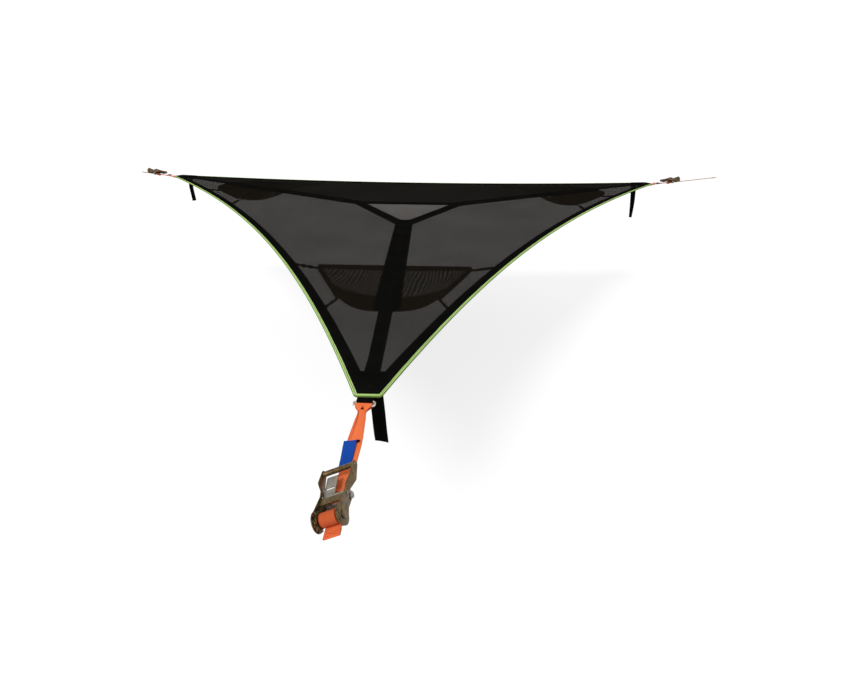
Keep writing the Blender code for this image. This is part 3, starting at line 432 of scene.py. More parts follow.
def finishes():
    # The last colour given to woven is the colour of its painted shade.
    painted_shade_red = srgb(96, 16, 6)
    return {
        "net": netting("panel_net", srgb(24, 21, 17), 0.0026, 0.45, 0.133),
        "back_net": netting("back_net", srgb(22, 20, 17), 0.0026, 0.45, 0.01),
        "hatch": netting("hatch_net", srgb(38, 32, 25), 0.0042, 0.35, 0.17),
        "pocket": netting("pocket_net", srgb(17, 17, 15), 0.0030, 0.42, 0.7, 1.3),
        "webbing": woven("black_webbing", srgb(15, 15, 14)),
        "binding": woven("black_binding", srgb(12, 12, 11), 0.0012, 0.0002),
        "trim": woven("green_trim", srgb(200, 236, 144), 0.0013, 0.00025, 0.2, srgb(96, 122, 50)),
        "trim_thread": woven("green_thread", srgb(144, 174, 90), 0.0008, 0.0001),
        "thread": woven("black_thread", srgb(30, 29, 28), 0.0006, 0.0001),
        "strap": woven("orange_strap", srgb(255, 126, 76), 0.0017, 0.0003, 0.16, painted_shade_red),
        "strap_thread": woven("orange_thread", srgb(188, 70, 34), 0.0006, 0.0001),
        # The tack's dark red stands in for the shadow where the strap's layers part.
        "tack": woven("painted_shadow_tack", srgb(74, 12, 8), 0.0008, 0.0003),
        "label": woven("blue_label", srgb(28, 74, 162), 0.0007, 0.0001, 0.2, srgb(12, 30, 84)),
        "label_thread": woven("blue_thread", srgb(52, 98, 170), 0.0006, 0.0001),
        "ratchet": plated("yellow_zinc", srgb(98, 80, 50), srgb(36, 25, 13)),
        # The finger dish's dark zinc is painted shade in the slot.
        "dish": plated("painted_shade_zinc", srgb(40, 34, 26), srgb(18, 14, 10), 0.85),
        "zinc": plated("zinc_plate", srgb(140, 134, 124), srgb(92, 84, 78)),
        "ring": plated("ring_steel", srgb(206, 202, 196), srgb(128, 122, 116), 0.26, 0.4),
    }


# Mesh helpers


def finished(name, bm, matrix, finish, smooth=40.0):
    """Makes a piece from a bmesh, set in its place, riding on nothing yet."""
    bmesh.ops.recalc_face_normals(bm, faces=bm.faces)
    mesh = bpy.data.meshes.new(name)
    bm.to_mesh(mesh)
    bm.free()
    mesh.transform(matrix)
    mesh.shade_smooth()
    if smooth < 180.0:
        mesh.set_sharp_from_angle(angle=math.radians(smooth))
    mesh.materials.append(finish)
    piece = bpy.data.objects.new(name, mesh)
    bpy.context.scene.collection.objects.link(piece)
    return piece


def placed(name, bm, matrix, finish, smooth=40.0, node=None, body=ROOT):
    """Makes a piece that rides on a body, and replaces a node where one is given.
    """
    piece = finished(name, bm, matrix, finish, smooth)
    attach(piece, body)
    if node:
        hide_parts(node)
    return piece


def crossed_box(corners):
    """The four sides and two diagonals of a sewn box."""
    sides = [[corners[i - 1], corners[i]] for i in range(4)]
    return sides + [[corners[0], corners[2]], [corners[1], corners[3]]]


def skin(bm, loops, uvs, closed=False, shades=None):
    """Joins loops of points into a closed skin, with the cloth's directions as its UV map.

    shades holds a value for each point: how much painted shade it gets.
    """
    layer = bm.loops.layers.uv.get("cloth") or bm.loops.layers.uv.new("cloth")
    depth = bm.verts.layers.float.get("painted_shade") or bm.verts.layers.float.new("painted_shade")
    rings = [[bm.verts.new(p) for p in loop] for loop in loops]
    for ring, values in zip(rings, shades or []):
        for vert, value in zip(ring, values):
            vert[depth] = value
    sides = len(rings[0])
    last = len(rings) if closed else len(rings) - 1
    for i in range(last):
        here = rings[i]
        there = rings[(i + 1) % len(rings)]
        after = uvs[i + 1] if i + 1 < len(uvs) else [(uvs[i][0][0] + 0.005, b) for _, b in uvs[i]]
        for j in range(sides):
            k = (j + 1) % sides
            face = bm.faces.new((here[j], here[k], there[k], there[j]))
            for corner, uv in zip(face.loops, (uvs[i][j], uvs[i][k], after[k], after[j])):
                corner[layer].uv = uv
    if not closed:
        for ring, uv in ((rings[0], uvs[0]), (rings[-1], uvs[-1])):
            face = bm.faces.new(ring)
            for corner, place in zip(face.loops, uv):
                corner[layer].uv = place


def lay_out(bm, inverse=None):
    """Takes the cloth's directions as its UV map from its places in its own frame."""
    layer = bm.loops.layers.uv.get("cloth") or bm.loops.layers.uv.new("cloth")
    for face in bm.faces:
        for corner in face.loops:
            place = inverse @ corner.vert.co if inverse else corner.vert.co
            corner[layer].uv = place.xy


def strip_section(half, thickness, columns, crown=None):
    """A flat strap's section with round edges, as (across, height) points."""
    radius = thickness / 2.0
    inset, rise = radius * 0.3, radius * 0.7
    shares = np.linspace(-1.0, 1.0, columns)
    lift = crown or (lambda s: 0.0)
    points = [(s * (half - radius), radius + lift(s)) for s in shares]
    for across, height in ((half - inset, rise), (half, 0.0), (half - inset, -rise)):
        points.append((across, height + lift(1.0)))
    points += [(s * (half - radius), -radius + lift(s)) for s in reversed(shares)]
    for across, height in ((-half + inset, -rise), (-half, 0.0), (-half + inset, rise)):
        points.append((across, height + lift(-1.0)))
    return points


def strap_skin(bm, stations, thickness, columns=5, closed=False, shade=None):
    """A strap along stations of (centre, across, normal, half width, crown).

    shade is a function of the station's index and the share across: how much painted shade the strap gets
    there.
    """
    loops = []
    uvs = []
    shades = []
    run = 0.0
    before = None
    for i, (centre, across, normal, half, crown) in enumerate(stations):
        if before is not None:
            run += (centre - before).length
        before = centre
        section = strip_section(half, thickness, columns, crown)
        loops.append([centre + across * a + normal * b for a, b in section])
        uvs.append([(run, a) for a, _ in section])
        shades.append([shade(i, a / half) if shade else 0.0 for a, _ in section])
    skin(bm, loops, uvs, closed, shades)


def stations_of(path, half, roll=None, side=None, crown=None, closed=False):
    """Stations along a path of (u, w) points; the others are functions of the point's index and u."""
    count = len(path)
    made = []
    for i, (u, w) in enumerate(path):
        ahead = path[(i + 1) % count] if closed or i + 1 < count else path[i]
        behind = path[i - 1] if closed or i else path[i]
        way = Vector((ahead[0] - behind[0], 0.0, ahead[1] - behind[1])).normalized()
        turned = turn(math.degrees(roll(u)) if roll else 0.0, "X")
        normal = Vector((-way.z, 0.0, way.x))
        centre = turned @ Vector((u, side(i, u) if side else 0.0, w))
        across = turned @ Vector((0.0, 1.0, 0.0))
        made.append((centre, across, turned @ normal, half(i, u), crown(i, u) if crown else None))
    return made


def way_along(line, i):
    """The direction of a line of points at its point i."""
    return (line[min(i + 1, len(line) - 1)] - line[max(i - 1, 0)]).normalized()


def tube_skin(bm, points, radius, sides=8):
    """A round tube along points; radius is a number or a function of the share of its length."""
    points = [Vector(p) for p in points]
    count = len(points)
    loops = []
    uvs = []
    run = 0.0
    side = None
    for i, point in enumerate(points):
        way = way_along(points, i)
        if side is None:
            side = way.orthogonal().normalized()
        side = (side - way * side.dot(way)).normalized()
        other = way.cross(side)
        size = radius(i / max(1, count - 1)) if callable(radius) else radius
        angles = [2.0 * math.pi * j / sides for j in range(sides)]
        loops.append([point + (side * math.cos(a) + other * math.sin(a)) * size for a in angles])
        if i:
            run += (point - points[i - 1]).length
        uvs.append([(run, a * size) for a in angles])
    skin(bm, loops, uvs)


def resampled(points, pitch):
    """Points spaced evenly by about pitch along a polyline."""
    points = np.array([tuple(p) for p in points], float)
    steps = np.linalg.norm(np.diff(points, axis=0), axis=1)
    run = np.concatenate([[0.0], np.cumsum(steps)])
    count = max(2, int(round(run[-1] / pitch)) + 1)
    at = np.linspace(0.0, run[-1], count)
    return [Vector([float(np.interp(a, run, points[:, k])) for k in range(3)]) for a in at]


def stitches(name, rows, matrix, finish, kind):
    """Rows of stitches, each a small raised bar lying on its polyline."""
    pitch, length, width = kind
    bm = bmesh.new()
    for row in rows:
        spots = resampled(row, pitch)
        for here, there in zip(spots, spots[1:]):
            way = (there - here).normalized()
            middle = (here + there) / 2.0
            across = Vector((-way.y, way.x, 0.0)).normalized()
            up = way.cross(across).normalized()
            if up.z < 0.0:
                up = -up
            loops = []
            for share, size in ((-1.0, 0.35), (-0.6, 1.0), (0.6, 1.0), (1.0, 0.35)):
                centre = middle + way * length / 2.0 * share
                wide = across * width / 2.0 * size
                crest = centre + up * STITCH_HEIGHT * size
                loops.append([centre - wide, crest - wide * 0.6, crest + wide * 0.6, centre + wide])
            skin(bm, loops, [[(0.0, 0.0)] * 4] * 4)
    placed(name, bm, matrix, finish)


def dressed(node, finish, bevel, matrix, body=ROOT):
    """A CAD node's own shape with rounded edges, which replaces it."""
    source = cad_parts[node]
    bm = bmesh.new()
    bm.from_mesh(source.data)
    bmesh.ops.remove_doubles(bm, verts=bm.verts, dist=1e-5)
    bmesh.ops.dissolve_limit(bm, angle_limit=math.radians(1.0), verts=bm.verts, edges=bm.edges)
    bm.normal_update()
    sharp = math.radians(50.0)
    edges = [e for e in bm.edges if len(e.link_faces) == 2 and e.calc_face_angle(0.0) > sharp]
    rounding = {"offset": bevel, "offset_type": "OFFSET", "segments": 2, "profile": 0.5}
    bmesh.ops.bevel(bm, geom=edges, affect="EDGES", clamp_overlap=True, **rounding)
    lay_out(bm, matrix.inverted())
    placed(node + "_look", bm, Matrix.Identity(4), finish, 35.0, node, body)


# The bed's cloth


def edge_point(x, inset):
    """A point of the bowed side, moved inward by inset, in the side's frame."""
    y = EDGE_END - EDGE_BOW * (1.0 - (x / EDGE_HALF) ** 2)
    slope = 2.0 * EDGE_BOW * x / EDGE_HALF**2
    length = math.hypot(1.0, slope)
    return (x + inset * slope / length, y - inset / length)


def inner_height(x):
    """The height of a panel's inner border: the radial seams, and the hatch between them."""
    return max(abs(x) * math.tan(CORNER_HALF_ANGLE) + SEAM, HATCH_MIDDLE + SEAM)


def within_corner(point, cut):
    """A point of the bowed side, drawn back along the corner's short edge where it passes the cut."""
    over = abs(point[0]) * math.cos(CORNER_HALF_ANGLE) + point[1] / 2.0 - cut
    if over <= 0.0:
        return point
    pull = over / math.cos(CORNER_HALF_ANGLE - END_SLOPE)
    aside = math.copysign(pull * math.cos(END_SLOPE), point[0])
    return (point[0] - aside, point[1] - pull * math.sin(END_SLOPE))


def panel(side, finish):
    """A net panel as one taut sheet, with a little unevenness between its seams."""
    columns = 120
    rows = 22
    cut = CIRCUMRADIUS - PANEL_INSET
    reach = cut * math.cos(CORNER_HALF_ANGLE)
    bm = bmesh.new()
    grid = []
    for x in np.linspace(-1.0, 1.0, columns + 1):
        low = (x * reach, inner_height(x * reach))
        high = within_corner(edge_point(x * (EDGE_HALF - 0.006), PANEL_INSET), cut)
        line = []
        for t in np.linspace(0.0, 1.0, rows + 1):
            px = low[0] + (high[0] - low[0]) * t
            py = low[1] + (high[1] - low[1]) * t
            wave = noise.noise(Vector((px * 3.0, py * 5.0, EDGES[side])))
            line.append(bm.verts.new((px, py, PANEL_UNEVENNESS * wave * math.sin(math.pi * t))))
        grid.append(line)
    for i in range(columns):
        for j in range(rows):
            bm.faces.new((grid[i][j], grid[i + 1][j], grid[i + 1][j + 1], grid[i][j + 1]))
    lay_out(bm)
    net = finish["back_net"] if side == "back" else finish["net"]
    piece = placed(f"{side}_net_panel", bm, edge_place(side), net, 180.0, f"{side}_panel")


def edge_rows(insets, height, ends=0.02):
    """Lines along the bowed side at some insets, kept on their own side of the radial seams."""
    rows = []
    for inset in insets:
        row = []
        for x in np.linspace(-EDGE_HALF + ends, EDGE_HALF - ends, 161):
            px, py = edge_point(x, inset)
            if py > abs(px) * math.tan(CORNER_HALF_ANGLE) + 0.003:
                row.append(Vector((px, py, height)))
        rows.append(row)
    return rows


def trim_section():
    """The folded binding: a full outer roll, a sewn groove and a flatter inner lip.

    Its places across are in sixteenths of the trim's width.
    """
    across = TRIM_WIDTH / 16.0
    roll = []
    for k in range(9):
        angle = math.radians(215.0 - 200.0 * k / 8.0)
        roll.append(((4.8 + 4.6 * math.cos(angle)) * across, -0.0014 + 0.0043 * math.sin(angle)))
    lip = ((9.8, 0.0006), (11.2, 0.0014), (13.5, 0.0022), (15.2, 0.0018), (15.8, 0.0004))
    under = ((15.4, -0.0030), (12.8, -0.0052), (8.5, -0.0058), (3.5, -0.0056))
    return roll + [(s * across, h) for s, h in lip + under]


def trim_painted_shade(share):
    """How much painted shade the binding gets at a share of its width: along its outer edge and in its
    sewn groove.
    """
    if share < 0.1:
        return 0.9
    return 0.7 * math.exp(-(((share - 0.6) / 0.10) ** 2))


def trim(side, finish):
    """The green binding, a little wavy, with its groove's stitches, and painted shade along its outer edge
    and in its groove.
    """
    path = []
    for end in (-1.0, 1.0):
        middle = Vector((end * BED_SIDE / 2.0, INRADIUS))
        flat_end = Vector((end * EDGE_HALF, EDGE_END))
        middle += (flat_end - middle).normalized() * SEAM / 2.0
        path.append([middle.lerp(flat_end, t) for t in (0.0, 0.35, 0.7, 0.88)])
    curve = [Vector(edge_point(x, 0.0)) for x in np.linspace(-EDGE_HALF, EDGE_HALF, 261)]
    curve = [curve[0].lerp(curve[1], 0.45)] + curve[1:-1] + [curve[-1].lerp(curve[-2], 0.45)]
    points = path[0] + curve + path[1][::-1]
    length = sum((there - here).length for here, there in zip(points, points[1:]))
    section = trim_section()
    loops = []
    uvs = []
    shades = []
    run = 0.0
    for i, point in enumerate(points):
        before = (point - points[i - 1]).normalized() if i else None
        after = (points[i + 1] - point).normalized() if i + 1 < len(points) else None
        ways = [way for way in (before, after) if way is not None]
        inward = sum((Vector((way.y, -way.x)) for way in ways), Vector((0.0, 0.0))).normalized()
        if i:
            run += (point - points[i - 1]).length
        wave = noise.noise(Vector((run * 13.0, EDGES[side], 0.0)))
        ripple = noise.noise(Vector((run * 38.0, EDGES[side], 7.0)))
        from_ends = smoothstep(0.0, 0.08, run) * smoothstep(0.0, 0.08, length - run)
        swell = 1.0 + (0.10 * wave + 0.07 * ripple) * from_ends
        loop = []
        for s, h in section:
            place = point + inward * (s * min(1.0, swell) + 0.0001)
            loop.append(Vector((*place, h * min(1.03, swell))))
        loops.append(loop)
        uvs.append([(run, j * 0.0022) for j in range(len(section))])
        # Painted shade along the outer edge and in the groove.
        shades.append([trim_painted_shade(s / TRIM_WIDTH) for s, _ in section])
    bm = bmesh.new()
    skin(bm, loops, uvs, False, shades)
    place = edge_place(side)
    placed(f"{side}_trim", bm, place, finish["trim"], 60.0, f"{side}_edge_trim")
    rows = edge_rows([0.65 * TRIM_WIDTH], 0.0010, 0.004)
    stitches(f"{side}_trim_stitches", rows, place, finish["trim_thread"], TRIM_STITCH)


def hatch_rows(inradius, height):
    tips = triangle_tips(inradius, height)
    return [[tips[i - 1], tips[i]] for i in range(3)]


def bed(finish):
    for side in EDGES:
        place = edge_place(side)
        panel(side, finish)
        dressed(f"{side}_edge_webbing", finish["webbing"], CLOTH_BEVEL, place)
        insets = [PANEL_INSET + SEWN_FROM_EDGE, PANEL_INSET + EDGE_WEB_WIDTH - SEWN_FROM_EDGE]
        rows = edge_rows(insets, WEB_HIGH)
        stitches(f"{side}_webbing_stitches", rows, place, finish["thread"], WEB_STITCH)
        trim(side, finish)
    dressed("hatch_frame", finish["webbing"], CLOTH_BEVEL, BED)
    rows = hatch_rows(HATCH_INNER + 0.005, WEB_HIGH) + hatch_rows(HATCH_OUTER - 0.005, WEB_HIGH)
    rows += hatch_rows(HATCH_MIDDLE, WEB_HIGH)
    stitches("hatch_stitches", rows, BED, finish["thread"], WEB_STITCH)
    hatch_net(finish)


def triangle_tips(inradius, height=0.0):
    """The corners of a triangle about the bed's centre, each towards one of the bed's corners."""
    angles = [math.radians(corner.azimuth) for corner in CORNERS.values()]
    return [Vector((2.0 * inradius * math.cos(a), 2.0 * inradius * math.sin(a), height)) for a in angles]


def hatch_net(finish):
    """The lighter net inside the hatch, with the slight unevenness of the panels."""
    tips = triangle_tips(HATCH_MIDDLE - SEAM)
    steps = 24
    bm = bmesh.new()
    rows = []
    for i in range(steps + 1):
        row = []
        for j in range(i + 1):
            along = tips[0].lerp(tips[1], i / steps)
            other = tips[0].lerp(tips[2], i / steps)
            point = along.lerp(other, j / i) if i else tips[0].copy()
            point.z = PANEL_UNEVENNESS * noise.noise(point * 6.0)
            row.append(bm.verts.new(point))
        rows.append(row)
    for i in range(steps):
        for j in range(i + 1):
            bm.faces.new((rows[i][j], rows[i + 1][j], rows[i + 1][j + 1]))
            if j < i:
                bm.faces.new((rows[i][j], rows[i + 1][j + 1], rows[i][j + 1]))
    lay_out(bm)
    piece = placed("hatch_net_look", bm, BED, finish["hatch"], 180.0, "hatch_net")
    gussets = [hatch_gusset(name, finish) for name in CORNERS]


def hatch_gusset(name, finish):
    """The webbing patch sewn across one of the hatch's inner corners."""
    tip = 2.0 * (HATCH_INNER - SEAM) - CIRCUMRADIUS
    slope = math.tan(CORNER_HALF_ANGLE)
    length = GUSSET_LENGTHS[name]
    outline = [(tip, 0.0)]
    for c in np.linspace(-1.0, 1.0, 9):
        back = length * (1.0 - 0.22 * (1.0 - c * c))
        outline.append((tip - back, c * length * slope))
    bm = bmesh.new()
    low, high = [[bm.verts.new((x, y, z)) for x, y in outline] for z in (WEB_LOW, WEB_HIGH)]
    bm.faces.new(high)
    bm.faces.new(low[::-1])
    for i in range(len(outline)):
        bm.faces.new((low[i - 1], low[i], high[i], high[i - 1]))
    lay_out(bm)
    return placed(f"{name}_hatch_gusset", bm, corner_place(name), finish["webbing"])


def corner_half_width(inward, inset):
    """Half the bed's width at a distance inward from a corner, less an inset at the bowed side."""
    to_corner = (turn(-90.0, "Z") @ shift(CIRCUMRADIUS, 0.0, 0.0)).inverted() @ turn(240.0, "Z")
    xs = np.linspace(-EDGE_HALF, EDGE_HALF, 161)
    curve = [to_corner @ Vector((*edge_point(x, inset), 0.0)) for x in xs]
    curve.sort(key=lambda p: p.x)
    return float(np.interp(-inward, [p.x for p in curve], [p.y for p in curve]))


def corner_cloth(name, finish):
    """The corner patch with its crossed stitches, and the radial strap with its rows."""
    place = corner_place(name)
    dressed(f"{name}_corner_patch", finish["webbing"], CLOTH_BEVEL, place)
    near, far = PANEL_INSET + 0.006, PATCH_LENGTH - 0.006
    wide = [corner_half_width(d, PANEL_INSET) - 0.006 for d in (near, far)]
    flat = ((near, -wide[0]), (near, wide[0]), (far, wide[1]), (far, -wide[1]))
    rows = crossed_box([Vector((-d, v, PATCH_HIGH)) for d, v in flat])
    stitches(f"{name}_patch_stitches", rows, place, finish["thread"], PATCH_STITCH)

    dressed(f"{name}_radial_strap", finish["webbing"], CLOTH_BEVEL, place)
    tip = CIRCUMRADIUS - 2.0 * (HATCH_OUTER + SEAM) - 0.012
    wide = RADIAL_WIDE / 2.0 - SEWN_FROM_EDGE
    narrow = RADIAL_NARROW / 2.0 - SEWN_FROM_EDGE
    border = (
        (PATCH_LENGTH + SEWN_FROM_EDGE, RADIAL_AT_CORNER / 2.0 - SEWN_FROM_EDGE),
        (RADIAL_STEP, narrow),
        (RADIAL_STEP + wide - narrow, wide),
        (tip - wide * math.sqrt(3.0), wide),
        (tip, 0.0),
    )
    rows = []
    for side in (-1.0, 1.0):
        rows.append([Vector((-d, side * v, WEB_HIGH)) for d, v in border])
        rows.append([Vector((-d, side * 0.006, WEB_HIGH)) for d in (RADIAL_STEP + 0.04, tip - 0.05)])
    near, far = tip - wide * math.sqrt(3.0) - 0.02, tip - wide * math.sqrt(3.0) + 0.035
    box = ((near, -0.02), (near, 0.02), (far, 0.02), (far, -0.02))
    rows += crossed_box([Vector((-d, v, WEB_HIGH)) for d, v in box])
    stitches(f"{name}_radial_stitches", rows, place, finish["thread"], WEB_STITCH)


# The pockets


def pocket_point(column, row):
    """A point of the pocket seen from above; column runs from -1 to 1 and row from mouth to foot."""
    mouth = Vector((-MOUTH_FROM_CORNER, MOUTH_HALF * column))
    bulge = FOOT_BULGE * (1.0 - abs(column) ** 3)
    foot = Vector((-FOOT_FROM_CORNER + bulge, FOOT_HALF * column))
    return mouth.lerp(foot, row)


def pocket_surface(column, row, below=0.0):
    """The hanging net, deepest towards its mouth, with soft ripples that run from its corners."""
    flat = pocket_point(column, row)
    across = 1.0 - column * column
    loose = math.sin(math.pi * row)
    if row < POCKET_DEEPEST:
        share = math.sin(math.pi / 2.0 * row / POCKET_DEEPEST) ** 0.8
    else:
        share = ((1.0 - row) / (1.0 - POCKET_DEEPEST)) ** 1.1
    hang = MOUTH_DROOP * (1.0 - row) + POCKET_SAG * share
    ripple = 0.0022 * math.sin(7.0 * column + 5.0 * row)
    ripple += 0.0015 * noise.noise(Vector((flat.x * 14.0, flat.y * 14.0, 3.0)))
    drop = across * (hang + abs(ripple) * loose)
    return Vector((flat.x, flat.y, UNDERSIDE - 0.0006 - drop - below))


def cloth_grid(bm, surface, columns, rows):
    """A sheet over column and row shares."""
    grid = [[bm.verts.new(surface(c, r)) for c in columns] for r in rows]
    for i in range(len(rows) - 1):
        for j in range(len(columns) - 1):
            bm.faces.new((grid[i][j], grid[i][j + 1], grid[i + 1][j + 1], grid[i + 1][j]))
    lay_out(bm)


def band_top(column):
    """The row where the pocket's closed foot band begins, with its uneven gathered border."""
    gathers = 0.012 * math.sin(23.0 * column) + 0.008 * math.sin(41.0 * column)
    return BAND_TOP + 0.17 * column * column + gathers


def side_word(side):
    return "first" if side < 0.0 else "second"


def pocket_side(name, side, finish):
    """The binding along one side of the pocket."""
    line = [pocket_surface(side * 0.985, r, 0.0008) for r in np.linspace(0.0, 1.0, 25)]
    stations = []
    for i, point in enumerate(line):
        way = way_along(line, i)
        across = Vector((-way.y, way.x, 0.0)).normalized()
        stations.append((point, across, Vector((0.0, 0.0, 1.0)), POCKET_BINDING / 2.0, None))
    bm = bmesh.new()
    strap_skin(bm, stations, 0.0012)
    return placed(f"{name}_pocket_{side_word(side)}_side", bm, corner_place(name), finish["binding"])


def pocket_tie(name, side, finish):
    """The knotted tie from the pocket's foot out to the edge webbing."""
    start = pocket_surface(side, POCKET_SEWN_ROW, 0.001)
    reach = corner_half_width(TIE_END_FROM_CORNER, PANEL_INSET + EDGE_WEB_WIDTH) - 0.001
    end = Vector((-TIE_END_FROM_CORNER, side * reach, start.z))
    line = resampled([start, end], 0.004)
    for i, point in enumerate(line):
        point.z -= 0.0045 + 0.0008 * (1.0 + math.sin(i * 1.3))
    bm = bmesh.new()
    tube_skin(bm, line, lambda t: 0.0036 + 0.0028 * abs(math.sin(t * 9.0)), 8)
    return placed(f"{name}_pocket_{side_word(side)}_tie", bm, corner_place(name), finish["binding"])


def pocket(name, finish):
    """The net, its closed foot band, its bound sides, its mouth's cord and its two ties."""
    place = corner_place(name)
    columns = np.linspace(-1.0, 1.0, 61)
    bm = bmesh.new()
    cloth_grid(bm, pocket_surface, columns, np.linspace(0.0, 1.0, 33))
    net = placed(f"{name}_pocket_net", bm, place, finish["pocket"], 180.0, f"{name}_pocket")

    def band_point(column, share):
        top = band_top(column)
        return pocket_surface(column, top + (1.0 - top) * share, 0.0006)

    bm = bmesh.new()
    cloth_grid(bm, band_point, columns, np.linspace(0.0, 1.0, 12))
    pieces = [placed(f"{name}_pocket_foot_band", bm, place, finish["binding"], 180.0)]
    for side in (-1.0, 1.0):
        pieces.append(pocket_side(name, side, finish))
        pieces.append(pocket_tie(name, side, finish))
    pieces.append(mouth_hem(name, finish))
    pieces.append(mouth_cord(name, finish))
    row = [pocket_surface(c, POCKET_SEWN_ROW, -0.0002) for c in np.linspace(-0.96, 0.96, 41)]
    stitches(f"{name}_pocket_foot_stitches", [row], place, finish["thread"], POCKET_STITCH)


def mouth_hem(name, finish):
    """The soft hem that leans out from the pocket's mouth, up to the bed."""

    def surface(column, share):
        inner = pocket_surface(column, 0.0, 0.0060)
        wave = 0.0010 * math.sin(31.0 * column) * (1.0 - share)
        rise = UNDERSIDE - 0.0014 - inner.z
        return inner + Vector((-MOUTH_HEM * share - 0.002, 0.0, rise * share + wave))

    bm = bmesh.new()
    cloth_grid(bm, surface, np.linspace(-1.0, 1.0, 81), np.linspace(0.0, 1.0, 6))
    return placed(f"{name}_pocket_mouth_hem", bm, corner_place(name), finish["binding"], 180.0)


def mouth_cord(name, finish):
    """The cord that runs in the mouth's hem and out to the edge webbings, lumpy at its knots."""
    reach = corner_half_width(CORD_END_FROM_CORNER, PANEL_INSET + EDGE_WEB_WIDTH) - 0.001
    level = pocket_surface(1.0, 0.0).z - MOUTH_CORD_END_DROP
    first = Vector((-CORD_END_FROM_CORNER, -reach, level))
    last = Vector((-CORD_END_FROM_CORNER, reach, level))
    points = []
    for c in np.linspace(-1.0, 1.0, 61):
        drop = MOUTH_CORD_DROP + (MOUTH_CORD_END_DROP - MOUTH_CORD_DROP) * abs(c) ** 6
        points.append(pocket_surface(c, 0.0, drop) - Vector((0.002, 0.0, 0.0)))
    line = resampled([first] + points + [last], 0.005)

    def size(t):
        outer = min(t, 1.0 - t)
        knots = sum(math.exp(-(((outer - at) / 0.007) ** 2)) for at in (0.055, 0.090))
        past_mouth = 1.0 - smoothstep(0.10, 0.14, outer)
        return 0.0036 + (0.0024 + 0.0012 * math.sin(t * 151.0)) * past_mouth + 0.0022 * knots

    bm = bmesh.new()
    tube_skin(bm, line, size, 8)
    return placed(f"{name}_pocket_mouth_cord", bm, corner_place(name), finish["binding"])


# The ring loops, tails and straps


def loop_top(u):
    high = -STRAP_LINE + UNDERSIDE - STRAP_THICKNESS / 2.0
    rise = smoothstep(TRIM_WIDTH + LOOP_RISE_START, TRIM_WIDTH + LOOP_RISE_END, -u)
    return LOOP_TURN_RADIUS + rise * (high - LOOP_TURN_RADIUS)


def loop_bottom(u):
    closed_up = loop_top(u) - STRAP_THICKNESS - TURN_GAP
    blend = smoothstep(RING_WIRE - RING_FROM_CORNER, LOOP_CLOSED_AT, -u)
    return -LOOP_TURN_RADIUS + blend * (closed_up + LOOP_TURN_RADIUS)


def half_turn(u, radius, sign):
    """A half circle from above to below, or from below to above, about (u, 0)."""
    angles = np.linspace(math.pi / 2.0, -math.pi / 2.0, HALF_TURN_POINTS)
    if sign > 0.0:
        return [(u + radius * math.cos(a), radius * math.sin(a)) for a in angles]
    return [(u - radius * math.cos(a), -radius * math.sin(a)) for a in angles]


def ring_loop(name, finish):
    """The black webbing sewn under the corner, round the ring's inner bar."""
    steps = list(np.linspace(-LOOP_REACH, RING_FROM_CORNER - 0.002, 46))
    path = [(u, loop_top(u)) for u in steps]
    path += half_turn(RING_FROM_CORNER, LOOP_TURN_RADIUS, 1.0)
    path += [(u, loop_bottom(u)) for u in reversed(steps)]
    bm = bmesh.new()
    strap_skin(bm, stations_of(path, lambda i, u: LOOP_WIDTH / 2.0), STRAP_THICKNESS)
    place = strap_place(name)
    piece = placed(f"{name}_loop_webbing", bm, place, finish["webbing"], node=f"{name}_ring_loop")


def hanging_tail(name, finish):
    """A loose webbing end, gently bent, curled and twisted, with its lower edge cut aslant."""
    corner = CORNERS[name]
    level = loop_bottom(-corner.tail_inward) - STRAP_THICKNESS / 2.0 - SEAM
    spot = shift(-corner.tail_inward, corner.tail_across, level - TAIL_THICKNESS * math.sqrt(0.5))
    place = strap_place(name) @ spot @ turn(corner.tail_turn, "Z")
    steps = np.linspace(0.0, 1.0, 41)
    line = []
    for t in steps:
        aside = corner.tail_aside * t + corner.tail_bow * math.sin(math.pi * t)
        sway = TAIL_SWAY * math.sin(2.0 * math.pi * t)
        line.append(Vector((aside, sway, TAIL_THICKNESS / 2.0 - corner.tail_length * t)))
    stations = []
    for i, point in enumerate(line):
        way = way_along(line, i)
        level_across = turn(corner.tail_twist * steps[i], "Z") @ Vector((1.0, 0.0, 0.0))
        aslant = Vector((0.0, 0.0, -0.17 * smoothstep(0.85, 1.0, steps[i])))
        bend = 0.0012 * smoothstep(0.0, 0.3, steps[i])
        crown = lambda s, b=bend: b * s * s
        stations.append((point, level_across + aslant, way.cross(level_across), TAIL_WIDTH / 2.0, crown))
    bm = bmesh.new()
    strap_skin(bm, stations, TAIL_THICKNESS, 9)
    node = f"{name}_hanging_tail"
    piece = placed(f"{name}_tail_webbing", bm, place, finish["webbing"], node=node, body=node)


def bolt_distance(name):
    return CORNERS[name].axle - BOLT_BACK


def strap_spread(name, u):
    """Half the distance between the short strap's two layers."""
    bolt = bolt_distance(name)
    at_ring = RING_WIRE + SEAM + STRAP_THICKNESS / 2.0
    at_bolt = BOLT_RADIUS + SEAM + STRAP_THICKNESS / 2.0
    together = STRAP_THICKNESS / 2.0 + TURN_GAP / 2.0
    ring_share = 1.0 - smoothstep(RING_OUTER_BAR, RING_OUTER_BAR + RING_SPREAD_LENGTH, u)
    bolt_share = smoothstep(bolt - BOLT_SPREAD_LENGTH, bolt, u)
    return together + ring_share * (at_ring - together) + bolt_share * (at_bolt - together)


def gathering(u):
    """How far the strap has closed up towards its pinch at u, and opened again past it."""
    closing = smoothstep(RING_OUTER_BAR, PINCH, u)
    opening = smoothstep(PINCH, RING_OUTER_BAR + FULL_FROM_RING, u)
    return closing, opening


def gather_share(u):
    """How much the strap is gathered at u, from 0 at its full width to 1 at the pinch."""
    closing, opening = gathering(u)
    return closing - opening


